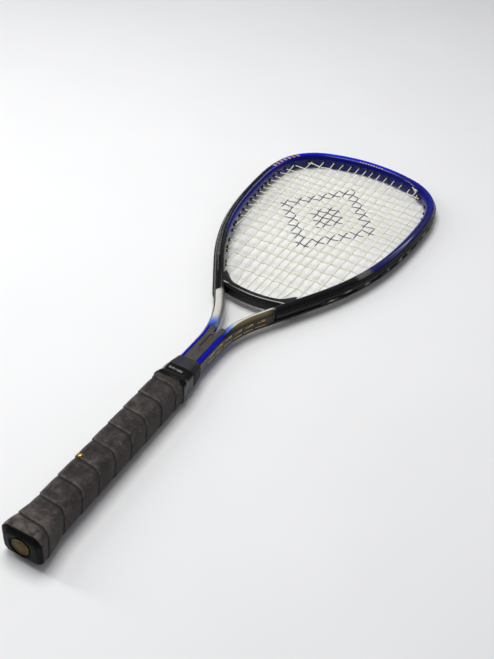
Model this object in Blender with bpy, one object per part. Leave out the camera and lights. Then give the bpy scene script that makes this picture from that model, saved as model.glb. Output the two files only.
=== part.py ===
"""Squash racket with an open throat, strung 16 by 19, with a worn overgrip.

Units are metres. The origin is the centre of the flat butt end. +Y runs along the
racket to the tip, +X runs across it and +Z is normal to the string bed.
"""
import math

import bmesh
import bpy
from mathutils import Vector

MM = 0.001
GAP = 0.3 * MM                    # clearance between pieces that touch

# Overall size
TIP_Y = 686 * MM                  # full length, butt to tip, the legal maximum
BUMPER_RISE = 7 * MM              # tube's centre line to the outer face of the bumper

# Frame tube: half width across the rim, half depth, wall
TUBE_A = 5.5 * MM
HOOP_B = 8.7 * MM
SHAFT_B = 8.5 * MM
WALL = 1.2 * MM
SHOULDER = 0.62                   # depth share where the tube begins to round
CROWN = 0.55                      # width share where the rounding ends
GROOVE_DEPTH = 1.6 * MM           # outer groove that the strips sit in
GROOVE_HALF = 4.7 * MM
SEAT_DEPTH = 1.9 * MM             # step in the shafts that the throat plates sit in
SEAT_EDGE = 1.4 * MM              # outer edge of that step, from the shaft's centre line
SHAFT_X = 5.8 * MM                # the two shafts lie side by side in the handle
SHAFT_END_Y = 16 * MM

# Right half of the rim's centre line, tip to handle: (radius, heading at the end, steps)
RIM_ARCS = (
    (158 * MM, 21.0, 4),
    (65 * MM, 77.0, 7),
    (149 * MM, 90.0, 2),
    (593 * MM, 97.5, 3),
    (323 * MM, 117.5, 5),
    (493 * MM, 119.0, 1),
)
THROAT_RADIUS = 127 * MM          # the reverse bend from the rim into the shafts
THROAT_STEPS = 5

# Heights along Y where the tube's section changes
GROOVE_END_Y = 346 * MM
SEAT_TOP_Y = 292 * MM
FADE = 9 * MM
HOOP_DEPTH_Y = 380 * MM
SHAFT_DEPTH_Y = 320 * MM

# Bridge across the throat
BRIDGE_Y = 361 * MM
BRIDGE_RADIUS = 95 * MM
BRIDGE_A = 4.0 * MM
BRIDGE_B = 7.0 * MM
BRIDGE_REACH = 42 * MM            # half length before the ends are cut to the shafts
BRIDGE_GROOVE = 2.2 * MM
BRIDGE_STRIP_THICK = 0.9 * MM

# Strings
STRING_HALF = 0.6 * MM
LAYER = 0.75 * MM                 # mains lie this far in front of the middle, crosses behind
MAINS = 8                         # to each side
MAIN_FIRST = 4.3 * MM
MAIN_GAP = 9.0 * MM
MAIN_GAP_GROWTH = 0.11 * MM
FAN = 0.45                        # widening of the mains per metre towards the tip
FAN_Y = 570 * MM
CROSS_MIDDLE_Y = 573.8 * MM
CROSSES_BELOW = 12
CROSSES_ABOVE = 6
CROSS_GAP_BELOW = (10.2 * MM, 0.10 * MM)
CROSS_GAP_ABOVE = (10.8 * MM, 0.20 * MM)
BRIDGE_MAINS = 4                  # mains to each side that end in the bridge
BRIDGE_LAST_HOLE = 27.3 * MM      # from the bridge's middle, to stay clear of the shafts

# Grommets and the strips that carry them
BARREL_HALF = 1.35 * MM
BORE_HALF = 0.9 * MM
BARREL_OUT = 1.7 * MM             # how far a barrel stands into the hoop
HOLE_SPACING = 4.8 * MM           # least spacing between holes along the rim
BEND_OUT = 0.8 * MM               # a string turns this far from its barrel's mouth
STRIP_HALF_WIDTH = 4.4 * MM
STRIP_FLOOR = 0.8 * MM
STRIP_GROOVE_HALF = 2.4 * MM
LOOP_HEIGHT = 1.05 * MM           # loop's centre above the strip's floor
LOOP_SIDE = 1.38 * MM             # mains run on one side of the groove, crosses on the other
LOOP_RAMP = 2.6 * MM
LOOP_STEP = 8 * MM
TAIL = 7 * MM
BUMPER_END_Y = 612 * MM
STRIP_END_Y = 352 * MM

# Handle: half sizes across (x) and through (z)
PALLET = (12.3 * MM, 10.4 * MM)
PALLET_TOP_Y = 216 * MM
BEVEL = 0.36                      # octagon corner cut as a share of its half depth
SOFT = 1.0 * MM                   # how far each corner of the octagon is blunted
BASE_GRIP_THICK = 1.4 * MM
BASE_GRIP_TOP_Y = 212 * MM
OVERGRIP_THICK = 1.3 * MM
OVERGRIP_TOP_Y = 208 * MM
OVERGRIP_PITCH = 22.5 * MM
OVERGRIP_LEAD = 8.3 * MM           # how far up the first full turn starts on the +X side
OVERGRIP_SIDES = 16
CAP_RIM_Y = 3.2 * MM
CAP_TOP_Y = 22 * MM
FLARE_LOW_Y = 8 * MM              # the flare is full below this and gone above the next
FLARE_TOP_Y = 31 * MM
FLARE = (3.4 * MM, 2.2 * MM)
CAP_FLOOR_Y = 6 * MM
RIM_RISE = 2.0 * MM               # rim of the butt cap, proud of what the grips sit on
END_BEVEL = (2.6 * MM, 4.2 * MM)  # set back of the flat end from the rim, across and through
END_BEVEL_Y = 2.4 * MM
EMBLEM_RADIUS = 8 * MM
EMBLEM_THICK = 1.2 * MM
PIN_RADIUS = 0.9 * MM
PIN_Y = 19 * MM
TAPE_THICK = 0.45 * MM
COLLAR_LOW_Y = 222.5 * MM
COLLAR_TOP_Y = 238.5 * MM
PLATE_LOW_Y = 240 * MM
PLATE_EDGE = 0.95 * MM
PLATE_BEND_Y = 266 * MM           # the plate is straight below this
PLATE_TOP_Y = 290 * MM
PLATE_ARM_IN = 3.5 * MM           # inner edge of each arm, from the shaft's centre line
PLATE_CROTCH_Y = 281 * MM
PLATE_SLOT_HALF = 1.7 * MM
PLATE_SLOT_Y = (258 * MM, 275.5 * MM)
TACK_Y = 87 * MM
TACK_INSET = 1.6 * MM             # tack's centre from the front face's edge

COLOURS = {
    "frame": ((0.02, 0.06, 0.55), 0.18, 0.0),
    "black_gloss": ((0.012, 0.012, 0.014), 0.25, 0.0),
    "black_nylon": ((0.02, 0.02, 0.022), 0.5, 0.0),
    "cream_nylon": ((0.62, 0.6, 0.52), 0.45, 0.0),
    "string": ((0.85, 0.82, 0.66), 0.35, 0.0),
    "throat_plate": ((0.05, 0.045, 0.045), 0.4, 0.0),
    "foam": ((0.55, 0.45, 0.3), 0.8, 0.0),
    "base_grip": ((0.03, 0.03, 0.032), 0.8, 0.0),
    "overgrip": ((0.07, 0.06, 0.058), 0.95, 0.0),
    "rubber": ((0.04, 0.045, 0.055), 0.6, 0.0),
    "brass": ((0.65, 0.42, 0.14), 0.3, 1.0),
    "steel": ((0.5, 0.5, 0.5), 0.35, 1.0),
}


# ---------------------------------------------------------------- Blender helpers

def clear_scene():
    for old in list(bpy.data.objects):
        bpy.data.objects.remove(old, do_unlink=True)


def material(name):
    found = bpy.data.materials.get(name)
    if found:
        return found
    colour, roughness, metallic = COLOURS[name]
    made = bpy.data.materials.new(name)
    made.use_nodes = True
    shader = made.node_tree.nodes["Principled BSDF"]
    shader.inputs["Base Color"].default_value = (*colour, 1.0)
    shader.inputs["Roughness"].default_value = roughness
    shader.inputs["Metallic"].default_value = metallic
    return made


def solid(name, verts, faces, finish):
    """One object from points and faces, its faces turned outwards."""
    mesh = bpy.data.meshes.new(name)
    mesh.from_pydata([tuple(v) for v in verts], [], faces)
    work = bmesh.new()
    work.from_mesh(mesh)
    bmesh.ops.recalc_face_normals(work, faces=work.faces)
    work.to_mesh(mesh)
    work.free()
    made = bpy.data.objects.new(name, mesh)
    bpy.context.scene.collection.objects.link(made)
    mesh.materials.append(material(finish))
    return made


def loft(rings, hollow=None):
    """Points and faces of a skin over equal rings, closed by caps or by an inner skin."""
    count = len(rings[0])
    verts = [p for ring in rings for p in ring]
    faces = []
    for row in range(len(rings) - 1):
        for k in range(count):
            a, b = row * count + k, row * count + (k + 1) % count
            faces.append((a, b, b + count, a + count))
    last = (len(rings) - 1) * count
    if hollow is None:
        faces.append(tuple(range(count)))
        faces.append(tuple(range(last, last + count)))
        return verts, faces
    inner_verts, inner_faces = loft(hollow)
    shift = len(verts)
    verts += inner_verts
    faces += [tuple(i + shift for i in f) for f in inner_faces[:-2]]
    inner_last = shift + (len(hollow) - 1) * count
    for low, inner_low in ((0, shift), (last, inner_last)):
        for k in range(count):
            j = (k + 1) % count
            faces.append((low + k, low + j, inner_low + j, inner_low + k))
    return verts, faces


def merge(parts):
    """Points and faces of several closed shapes as one list."""
    verts, faces = [], []
    for part_verts, part_faces in parts:
        shift = len(verts)
        verts += part_verts
        faces += [tuple(i + shift for i in f) for f in part_faces]
    return verts, faces


def tool(name, shapes):
    """A hidden shape that other pieces are cut or joined with."""
    made = solid(name, *merge(shapes), "black_nylon")
    made.hide_render = True
    made.display_type = "WIRE"
    return made


def combine(piece, other, operation):
    modifier = piece.modifiers.new(other.name, "BOOLEAN")
    modifier.object = other
    modifier.operation = operation
    modifier.solver = "EXACT"


def smooth(piece, angle=35):
    piece.data.shade_smooth()
    piece.data.set_sharp_from_angle(angle=math.radians(angle))


def share(value, low, high):
    """0 at low, 1 at high, straight between them."""
    return min(1.0, max(0.0, (value - low) / (high - low)))


# ---------------------------------------------------------------- centre lines

def normal(heading):
    """Outward normal of a curve that leaves the tip towards +X and turns clockwise."""
    angle = math.radians(heading)
    return Vector((math.sin(angle), math.cos(angle), 0))


class Curve:
    """A flat centre line of arcs and straights, with its outward normals by length."""

    def __init__(self, start, heading):
        self.spans = []
        self.stops = [0.0]
        self.length = 0.0
        self.point = Vector(start)
        self.heading = heading

    def add_arc(self, radius, heading, steps):
        centre = self.point - normal(self.heading) * radius
        length = abs(radius * math.radians(heading - self.heading))
        self.spans.append((self.length, length, centre, radius, self.heading, heading))
        self.point = centre + normal(heading) * radius
        self.heading = heading
        self.stops += [self.length + length * (k + 1) / steps for k in range(steps)]
        self.length += length

    def add_line(self, length):
        self.spans.append((self.length, length, self.point.copy(), None, self.heading, self.heading))
        angle = math.radians(self.heading)
        self.point = self.point + Vector((math.cos(angle), -math.sin(angle), 0)) * length
        self.length += length
        self.stops.append(self.length)

    def at(self, s):
        """Point and outward normal at a length; a negative length is the mirror half."""
        reach = min(abs(s), self.length)
        for begin, length, anchor, radius, first, last in self.spans:
            if reach <= begin + length + 1e-9:
                break
        part = (reach - begin) / length
        if radius is None:
            angle = math.radians(first)
            point = anchor + Vector((math.cos(angle), -math.sin(angle), 0)) * (reach - begin)
            outward = normal(first)
        else:
            outward = normal(first + (last - first) * part)
            point = anchor + outward * radius
        if s < 0:
            point = Vector((-point.x, point.y, 0))
            outward = Vector((-outward.x, outward.y, 0))
        return point, outward

    def place(self, s, out, z=0.0):
        point, outward = self.at(s)
        return point + outward * out + Vector((0, 0, z))

    def length_at_y(self, y):
        low, high = 0.0, self.length
        for _ in range(60):
            middle = (low + high) / 2
            if self.at(middle)[0].y > y:
                low = middle
            else:
                high = middle
        return low


def rim_curve():
    curve = Curve((0, TIP_Y - BUMPER_RISE, 0), 0.0)
    for radius, heading, steps in RIM_ARCS:
        curve.add_arc(radius, heading, steps)
    tilt = math.radians(curve.heading - 90)
    bend = THROAT_RADIUS * (1 - math.cos(tilt))
    curve.add_line((curve.point.x - SHAFT_X - bend) / math.sin(tilt))
    curve.add_arc(-THROAT_RADIUS, 90.0, THROAT_STEPS)
    curve.add_line(curve.point.y - SHAFT_END_Y)
    return curve


class BridgeCurve:
    """The bridge's arc, bowed towards the handle; out is towards the throat opening."""

    def place(self, s, out, z=0.0):
        turn = s / BRIDGE_RADIUS
        radius = BRIDGE_RADIUS + out
        return Vector((radius * math.sin(turn), BRIDGE_Y + BRIDGE_RADIUS - radius * math.cos(turn), z))


RIM = rim_curve()
BRIDGE = BridgeCurve()


def both_sides(stops):
    return [-s for s in reversed(stops) if s > 0] + list(stops)


def stops_between(low, high):
    inside = [s for s in both_sides(RIM.stops) if low + MM < s < high - MM]
    return [low] + inside + [high]


# ---------------------------------------------------------------- frame tube

def tube_section(y, grow=0.0):
    """Outer outline of the tube as (out, z) pairs, upper half then its mirror."""
    half_depth = SHAFT_B + (HOOP_B - SHAFT_B) * share(y, SHAFT_DEPTH_Y, HOOP_DEPTH_Y)
    a, b = TUBE_A + grow, half_depth + grow
    groove = GROOVE_DEPTH * share(y, GROOVE_END_Y - FADE, GROOVE_END_Y) if not grow else 0.0
    seat = 1 - share(y, SEAT_TOP_Y, SEAT_TOP_Y + FADE) if not grow else 0.0

    def shift(plain, seated):
        return tuple(p + (q - p) * seat for p, q in zip(plain, seated))

    step = b - SEAT_DEPTH
    upper = [
        (a - groove, GROOVE_HALF),
        (a, SHOULDER * b),
        (CROWN * a, b),
        shift((-0.35 * a, b), (SEAT_EDGE, b)),
        shift((-0.78 * a, 0.76 * b), (SEAT_EDGE, step)),
        shift((-a, 0.36 * b), (-a, step)),
    ]
    return upper + [(u, -z) for u, z in reversed(upper)]


def cavity_section(y):
    """Hollow inside the tube, with as many points as its outer outline."""
    half_depth = SHAFT_B + (HOOP_B - SHAFT_B) * share(y, SHAFT_DEPTH_Y, HOOP_DEPTH_Y)
    seat = 1 - share(y, SEAT_TOP_Y, SEAT_TOP_Y + FADE)
    out = TUBE_A - GROOVE_DEPTH - WALL
    inn = TUBE_A - WALL
    b = half_depth - WALL - SEAT_DEPTH * seat
    upper = [(out, 0.25 * b), (out, 0.6 * b), (0.4 * out, b),
             (-0.4 * inn, b), (-0.8 * inn, 0.82 * b), (-inn, 0.5 * b)]
    return upper + [(u, -z) for u, z in reversed(upper)]


def rim_rings(stops, section):
    return [[RIM.place(s, u, z) for u, z in section(RIM.at(s)[0].y)] for s in stops]


def section_stops():
    """All stations of the tube, with extra ones where its section changes."""
    extra = [GROOVE_END_Y - FADE, GROOVE_END_Y, SEAT_TOP_Y, SEAT_TOP_Y + FADE, HOOP_DEPTH_Y]
    stops = sorted(RIM.stops + [RIM.length_at_y(y) for y in extra])
    kept = [stops[0]]
    for s in stops[1:]:
        if s - kept[-1] > 0.5 * MM:
            kept.append(s)
    return both_sides(kept)


def bar(curve, hole, low, high, half):
    """Square bar through a hole, along the curve's normal from one offset to another."""
    s, z = hole
    near, far = curve.place(s, low, z), curve.place(s, high, z)
    side = (far - near).cross(Vector((0, 0, 1))).normalized() * half
    up = Vector((0, 0, half))
    rings = [[p - side - up, p + side - up, p + side + up, p - side + up] for p in (near, far)]
    return loft(rings)


def build_frame(holes):
    stops = section_stops()
    skin = loft(rim_rings(stops, tube_section), rim_rings(stops, cavity_section))
    frame = solid("frame", *skin, "frame")
    reach = TUBE_A + 3 * MM
    cutter = tool("frame_holes", [bar(RIM, hole, -reach, reach, BARREL_HALF + GAP) for hole in holes])
    combine(frame, cutter, "DIFFERENCE")
    smooth(frame)


# ---------------------------------------------------------------- string layout

def main_x(index, y):
    """Where a main string crosses height y; index runs 1 to 8 and is signed."""
    x = MAIN_FIRST + sum(MAIN_GAP + MAIN_GAP_GROWTH * k * k for k in range(1, abs(index)))
    return math.copysign(x * (1 + FAN * (y - FAN_Y)), index)


def cross_heights():
    ys = [CROSS_MIDDLE_Y]
    for k in range(CROSSES_BELOW):
        ys.insert(0, ys[0] - CROSS_GAP_BELOW[0] - CROSS_GAP_BELOW[1] * k * k)
    for k in range(CROSSES_ABOVE):
        ys.append(ys[-1] + CROSS_GAP_ABOVE[0] + CROSS_GAP_ABOVE[1] * k * k)
    return ys


def solve(function, low, high):
    """Root of a function that changes sign once between low and high."""
    rising = function(low) < 0
    for _ in range(60):
        middle = (low + high) / 2
        if (function(middle) < 0) == rising:
            low = middle
        else:
            high = middle
    return low


MOUTH = -(TUBE_A + BARREL_OUT + BEND_OUT)
BRIDGE_TOP = BRIDGE_A + GAP + BRIDGE_STRIP_THICK + 1.0 * MM
BRIDGE_MOUTH = -(BRIDGE_TOP + BEND_OUT)


def main_end(index, curve, mouth, low, high):
    def miss(s):
        p = curve.place(s, mouth)
        return p.x - main_x(index, p.y)
    return solve(miss, low, high)


def spread(ends):
    """Move neighbouring holes apart until none is closer than the least spacing."""
    keys = sorted(ends, key=lambda k: ends[k])
    for _ in range(200):
        for a, b in zip(keys, keys[1:]):
            lack = HOLE_SPACING - (ends[b] - ends[a])
            if lack > 0:
                ends[a] -= lack / 2
                ends[b] += lack / 2
    return ends


def layout():
    """Hole lengths on the rim's right half and on the bridge's right half."""
    widest = RIM.length_at_y(CROSS_MIDDLE_Y)
    throat = RIM.length_at_y(BRIDGE_Y)
    ends, bridge = {}, {}
    for index in range(1, MAINS + 1):
        ends["main_top", index] = main_end(index, RIM, MOUTH, 0, widest)
        if index <= BRIDGE_MAINS:
            wanted = main_end(index, BRIDGE, BRIDGE_MOUTH, 0, BRIDGE_REACH)
            bridge[index] = min(wanted, BRIDGE_LAST_HOLE)
        else:
            ends["main_low", index] = main_end(index, RIM, MOUTH, widest, throat)
    for number, y in enumerate(CROSS_YS):
        ends["cross", number] = solve(lambda s: RIM.place(s, MOUTH).y - y, 0, throat)
    return spread(ends), bridge


CROSS_YS = cross_heights()
RIM_ENDS, BRIDGE_ENDS = layout()


def signed_end(kind, index):
    side = 1 if index > 0 else -1
    return side * RIM_ENDS[kind, abs(index)]


def rim_holes():
    """Every hole in the rim as (length, z): mains in front of the middle, crosses behind."""
    return [(side * s, -LAYER if kind == "cross" else LAYER)
            for (kind, _), s in RIM_ENDS.items() for side in (1, -1)]


def main_indices():
    return [i for i in range(-MAINS, MAINS + 1) if i]


def meet(index, number):
    """True if a main and a cross really cross inside the hoop."""
    y = CROSS_YS[number]
    top = RIM.place(RIM_ENDS["main_top", abs(index)], MOUTH).y
    if abs(index) <= BRIDGE_MAINS:
        low = BRIDGE_Y
    else:
        low = RIM.place(RIM_ENDS["main_low", abs(index)], MOUTH).y
    side = RIM.place(RIM_ENDS["cross", number], MOUTH).x
    return low + MM < y < top - MM and abs(main_x(index, y)) < side - MM


# ---------------------------------------------------------------- strings

def loop_points(curve, start, end, out, layer, side):
    """Points of a string outside its holes, from one hole to the next."""
    way = 1 if end > start else -1
    first, last = start + way * LOOP_RAMP, end - way * LOOP_RAMP
    steps = max(1, math.ceil(abs(last - first) / LOOP_STEP))
    points = [curve.place(start, out, layer)]
    points += [curve.place(first + (last - first) * k / steps, out, side) for k in range(steps + 1)]
    return points + [curve.place(end, out, layer)]


RIM_FLOOR = TUBE_A - GROOVE_DEPTH + GAP + STRIP_FLOOR
RIM_LOOP = RIM_FLOOR + LOOP_HEIGHT
BRIDGE_LOOP = BRIDGE_A - BRIDGE_GROOVE + GAP + STRING_HALF


def tail_points(s, layer, side):
    """A string's tied end, laid along the groove towards the tip."""
    way = -1 if s > 0 else 1
    return [RIM.place(s + way * TAIL, RIM_LOOP, side),
            RIM.place(s + way * LOOP_RAMP, RIM_LOOP, side), RIM.place(s, RIM_LOOP, layer)]


def low_end(index):
    """Length of a main's lower hole, along the bridge or along the rim."""
    if abs(index) <= BRIDGE_MAINS:
        return math.copysign(BRIDGE_ENDS[abs(index)], index)
    return signed_end("main_low", index)


def main_path():
    points = tail_points(signed_end("main_top", -MAINS), LAYER, LOOP_SIDE)
    indices = main_indices()
    for order, index in enumerate(indices):
        in_bridge = abs(index) <= BRIDGE_MAINS
        curve = BRIDGE if in_bridge else RIM
        low_s = low_end(index)
        low_mouth = curve.place(low_s, BRIDGE_MOUTH if in_bridge else MOUTH, LAYER)
        top_mouth = RIM.place(signed_end("main_top", index), MOUTH, LAYER)
        heights = [y for number, y in enumerate(CROSS_YS) if meet(index, number)]
        bed = [Vector((main_x(index, y), y, LAYER)) for y in (heights[0], heights[-1])]
        run = [low_mouth] + bed + [top_mouth]
        going_down = order % 2 == 0
        points += reversed(run) if going_down else run
        if order == len(indices) - 1:
            break
        following = indices[order + 1]
        if not going_down:
            points += loop_points(RIM, signed_end("main_top", index), signed_end("main_top", following),
                                  RIM_LOOP, LAYER, LOOP_SIDE)
        elif in_bridge:
            points += loop_points(BRIDGE, low_s, low_end(following), BRIDGE_LOOP, LAYER, LAYER)
        else:
            points += loop_points(RIM, low_s, low_end(following), RIM_LOOP, LAYER, LOOP_SIDE)
    return points + list(reversed(tail_points(signed_end("main_top", MAINS), LAYER, LOOP_SIDE)))


def cross_path():
    points = tail_points(-RIM_ENDS["cross", 0], -LAYER, -LOOP_SIDE)
    last = len(CROSS_YS) - 1
    for number, y in enumerate(CROSS_YS):
        s = RIM_ENDS["cross", number]
        across = [index for index in main_indices() if meet(index, number)]
        bed = [Vector((main_x(index, y), y, -LAYER)) for index in (across[0], across[-1])]
        run = [RIM.place(-s, MOUTH, -LAYER)] + bed + [RIM.place(s, MOUTH, -LAYER)]
        to_right = number % 2 == 0
        points += run if to_right else reversed(run)
        side = 1 if to_right else -1
        if number < last:
            following = side * RIM_ENDS["cross", number + 1]
            points += loop_points(RIM, side * s, following, RIM_LOOP, -LAYER, -LOOP_SIDE)
        else:
            points += list(reversed(tail_points(side * s, -LAYER, -LOOP_SIDE)))
    return points


def string_mesh(points, half):
    """Square tube along a path, mitred at its corners."""
    rings = []
    for k, point in enumerate(points):
        before = (point - points[k - 1]).normalized() if k else None
        after = (points[k + 1] - point).normalized() if k < len(points) - 1 else None
        before, after = before or after, after or before
        along = (before + after).normalized()
        flat_before = Vector((before.x, before.y, 0)).normalized()
        flat_along = Vector((along.x, along.y, 0)).normalized()
        side = Vector((flat_along.y, -flat_along.x, 0)) * (half / max(0.6, flat_along.dot(flat_before)))
        up = side.cross(along).normalized() * half
        rings.append([point - side - up, point + side - up, point + side + up, point - side + up])
    return loft(rings)


def build_strings():
    for name, path in (("main_string", main_path()), ("cross_string", cross_path())):
        smooth(solid(name, *string_mesh(path, STRING_HALF), "string"))


# ---------------------------------------------------------------- grommet strips

def strip_section(crown):
    floor = TUBE_A - GROOVE_DEPTH + GAP
    wide, groove = STRIP_HALF_WIDTH, STRIP_GROOVE_HALF
    upper = [(RIM_FLOOR, 0.9 * groove), (crown, groove + 0.2 * MM),
             (crown, wide - 0.8 * MM), (crown - 0.9 * MM, wide), (floor, wide)]
    return upper + [(u, -z) for u, z in reversed(upper)]


def build_strip(name, low, high, holes):
    rings = [[RIM.place(s, u, z) for u, z in strip_section(BUMPER_RISE)] for s in stops_between(low, high)]
    strip = solid(name, *loft(rings), "black_nylon")
    inside = [hole for hole in holes if low < hole[0] < high]
    mouth = -(TUBE_A + BARREL_OUT)
    barrels = [bar(RIM, hole, mouth, RIM_FLOOR - 0.35 * MM, BARREL_HALF) for hole in inside]
    bores = [bar(RIM, hole, mouth - MM, RIM_FLOOR + MM, BORE_HALF) for hole in inside]
    combine(strip, tool(name + "_barrels", barrels), "UNION")
    combine(strip, tool(name + "_bores", bores), "DIFFERENCE")
    smooth(strip)


def build_strips(holes):
    bumper_end = RIM.length_at_y(BUMPER_END_Y)
    split = split_between(bumper_end, [s for s, z in holes if s > 0])
    strip_end = RIM.length_at_y(STRIP_END_Y)
    build_strip("head_bumper", -split + GAP, split - GAP, holes)
    build_strip("side_strip_right", split + GAP, strip_end, holes)
    build_strip("side_strip_left", -strip_end, -split - GAP, holes)


def split_between(wanted, holes):
    """The middle of the gap between two holes that is nearest to a wanted length."""
    ordered = sorted(holes)
    middles = [(a + b) / 2 for a, b in zip(ordered, ordered[1:])]
    return min(middles, key=lambda s: abs(s - wanted))


# ---------------------------------------------------------------- throat

def throat_clearance():
    """Both shafts around the bridge, grown by the gap."""
    low, high = RIM.length_at_y(BRIDGE_Y + 35 * MM), RIM.length_at_y(BRIDGE_Y - 30 * MM)
    stops = stops_between(low, high)
    shapes = []
    for side in (1, -1):
        rings = [[RIM.place(side * s, u, z) for u, z in tube_section(RIM.at(s)[0].y, GAP)] for s in stops]
        shapes.append(loft(rings))
    return tool("throat_clearance", shapes)


def bridge_bar(name, section, reach, steps, finish):
    rings = []
    for k in range(2 * steps + 1):
        s = reach * (k / steps - 1)
        rings.append([BRIDGE.place(s, u, z) for u, z in section])
    return solid(name, *loft(rings), finish)


def build_bridge():
    clearance = throat_clearance()
    holes = [(side * s, LAYER) for s in BRIDGE_ENDS.values() for side in (1, -1)]
    a, b = BRIDGE_A, BRIDGE_B
    upper = [(a - BRIDGE_GROOVE, 1.9 * MM), (a, 2.1 * MM), (a, 0.72 * b), (0.6 * a, b),
             (-0.6 * a, b), (-a, 0.72 * b)]
    section = upper + [(u, -z) for u, z in reversed(upper)]
    bridge = bridge_bar("throat_bridge", section, BRIDGE_REACH, 7, "black_gloss")
    hole_low, hole_high = -a - 2 * MM, a - BRIDGE_GROOVE + 0.8 * MM
    cutter = tool("bridge_holes", [bar(BRIDGE, hole, hole_low, hole_high, BARREL_HALF + GAP) for hole in holes])
    combine(bridge, clearance, "DIFFERENCE")
    combine(bridge, cutter, "DIFFERENCE")
    smooth(bridge)

    low, high = -a - GAP - BRIDGE_STRIP_THICK, -a - GAP
    wide = 0.68 * b
    strip_outline = [(low, wide - 0.7 * MM), (low + 0.4 * MM, wide), (high, wide),
                     (high, -wide), (low + 0.4 * MM, -wide), (low, 0.7 * MM - wide)]
    strip = bridge_bar("bridge_grommet_strip", strip_outline, BRIDGE_REACH, 7, "cream_nylon")
    barrel_end = a - BRIDGE_GROOVE - 0.2 * MM
    barrels = [bar(BRIDGE, hole, -BRIDGE_TOP, barrel_end, BARREL_HALF) for hole in holes]
    bores = [bar(BRIDGE, hole, -BRIDGE_TOP - MM, barrel_end + MM, BORE_HALF) for hole in holes]
    combine(strip, tool("bridge_barrels", barrels), "UNION")
    combine(strip, clearance, "DIFFERENCE")
    combine(strip, tool("bridge_bores", bores), "DIFFERENCE")
    smooth(strip)

    cover_low, cover_high = a + GAP, a + GAP + MM
    cover_outline = [(cover_low, 0.68 * b), (cover_high - 0.4 * MM, 0.68 * b), (cover_high, 0.56 * b),
                     (cover_high, -0.56 * b), (cover_high - 0.4 * MM, -0.68 * b), (cover_low, -0.68 * b)]
    cover = bridge_bar("bridge_cover", cover_outline, BRIDGE_REACH, 7, "black_nylon")
    combine(cover, clearance, "DIFFERENCE")
    smooth(cover)


def plate_outline():
    """Fork-shaped throat plate: lower edge, right arm, rounded crotch, then the mirror."""
    top = RIM.length_at_y(PLATE_TOP_Y)
    bend_end = RIM.length_at_y(PLATE_BEND_Y)
    outer = [RIM.place(bend_end + (top - bend_end) * k / 4, PLATE_EDGE) for k in range(5)]
    tip = RIM.place(top, -PLATE_ARM_IN)
    crotch = []
    for k in range(5):
        angle = math.radians(90 * k / 4)
        crotch.append(Vector((tip.x * math.cos(angle),
                              tip.y - (tip.y - PLATE_CROTCH_Y) * math.sin(angle), 0)))
    right = [Vector((outer[0].x, PLATE_LOW_Y, 0))] + outer + crotch
    left = [Vector((-p.x, p.y, 0)) for p in reversed(right[:-1])]
    return right + left


def plate_slot():
    """Long slot with round ends, through both plates."""
    low, high = PLATE_SLOT_Y
    ring = []
    for middle, first in ((high - PLATE_SLOT_HALF, 0), (low + PLATE_SLOT_HALF, 180)):
        for k in range(7):
            angle = math.radians(first + 180 * k / 6)
            ring.append(Vector((PLATE_SLOT_HALF * math.cos(angle), middle + PLATE_SLOT_HALF * math.sin(angle), 0)))
    reach = Vector((0, 0, HOOP_B + 3 * MM))
    return tool("plate_slot", [loft([[p - reach for p in ring], [p + reach for p in ring]])])


def build_throat_plates():
    low = SHAFT_B - SEAT_DEPTH + GAP
    high = SHAFT_B + 0.1 * MM
    slot = plate_slot()
    for name, side in (("throat_plate_front", 1), ("throat_plate_back", -1)):
        rings = [[p + Vector((0, 0, side * z)) for p in plate_outline()] for z in (low, high)]
        plate = solid(name, *loft(rings), "throat_plate")
        combine(plate, slot, "DIFFERENCE")


# ---------------------------------------------------------------- handle

def handle_core(y):
    """Half sizes of what the grips are wound on: the butt cap's flare, then the pallets."""
    left = 1 - share(y, FLARE_LOW_Y, FLARE_TOP_Y)
    return tuple(half + flare * left for half, flare in zip(PALLET, FLARE))


def octagon(half_x, half_z, y):
    """Eight-sided ring whose corners are each blunted to two points."""
    cut = BEVEL * half_z
    corners = [(half_x, half_z - cut), (half_x - cut, half_z)]
    corners += [(-x, z) for x, z in reversed(corners)]
    corners += [(-x, -z) for x, z in corners]
    ring = []
    for k, (x, z) in enumerate(corners):
        here = Vector((x, y, z))
        back = Vector((corners[k - 1][0], y, corners[k - 1][1]))
        ahead = Vector((corners[(k + 1) % 8][0], y, corners[(k + 1) % 8][1]))
        ring += [here + (back - here).normalized() * SOFT, here + (ahead - here).normalized() * SOFT]
    return ring


def sleeve(name, heights, outer, inner, finish):
    """Eight-sided sleeve whose half sizes follow two functions of height."""
    outside = [octagon(*outer(y), y) for y in heights]
    inside = [octagon(*inner(y), y) for y in heights]
    made = solid(name, *loft(outside, inside), finish)
    smooth(made, 30)
    return made


def grown(function, amount):
    return lambda y: tuple(half + amount for half in function(y))


# Corners of the room that the two shafts need inside the handle, upper right quarter.
SHAFT_SIDE = (SHAFT_X + TUBE_A + GAP, SHOULDER * SHAFT_B)
SHAFT_TOP = (SHAFT_X + CROWN * TUBE_A + GAP, SHAFT_B + GAP)


def build_pallets():
    half_x = PALLET[0]
    split = GAP / 2
    upper_half = [(p.x, p.z) for p in octagon(*PALLET, 0.0)[:8]]
    profile = [(half_x, split)] + upper_half + [(-half_x, split)]
    corner = [SHAFT_SIDE, SHAFT_TOP]
    room = [(SHAFT_SIDE[0], split)] + corner + [(-x, z) for x, z in reversed(corner)]
    profile += reversed(room + [(-SHAFT_SIDE[0], split)])
    for name, side in (("handle_pallet_front", 1), ("handle_pallet_back", -1)):
        rings = [[Vector((x, y, side * z)) for x, z in profile] for y in (SHAFT_END_Y, PALLET_TOP_Y)]
        pallet = solid(name, *loft(rings), "foam")
        combine(pallet, pin_hole(side), "DIFFERENCE")


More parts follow.
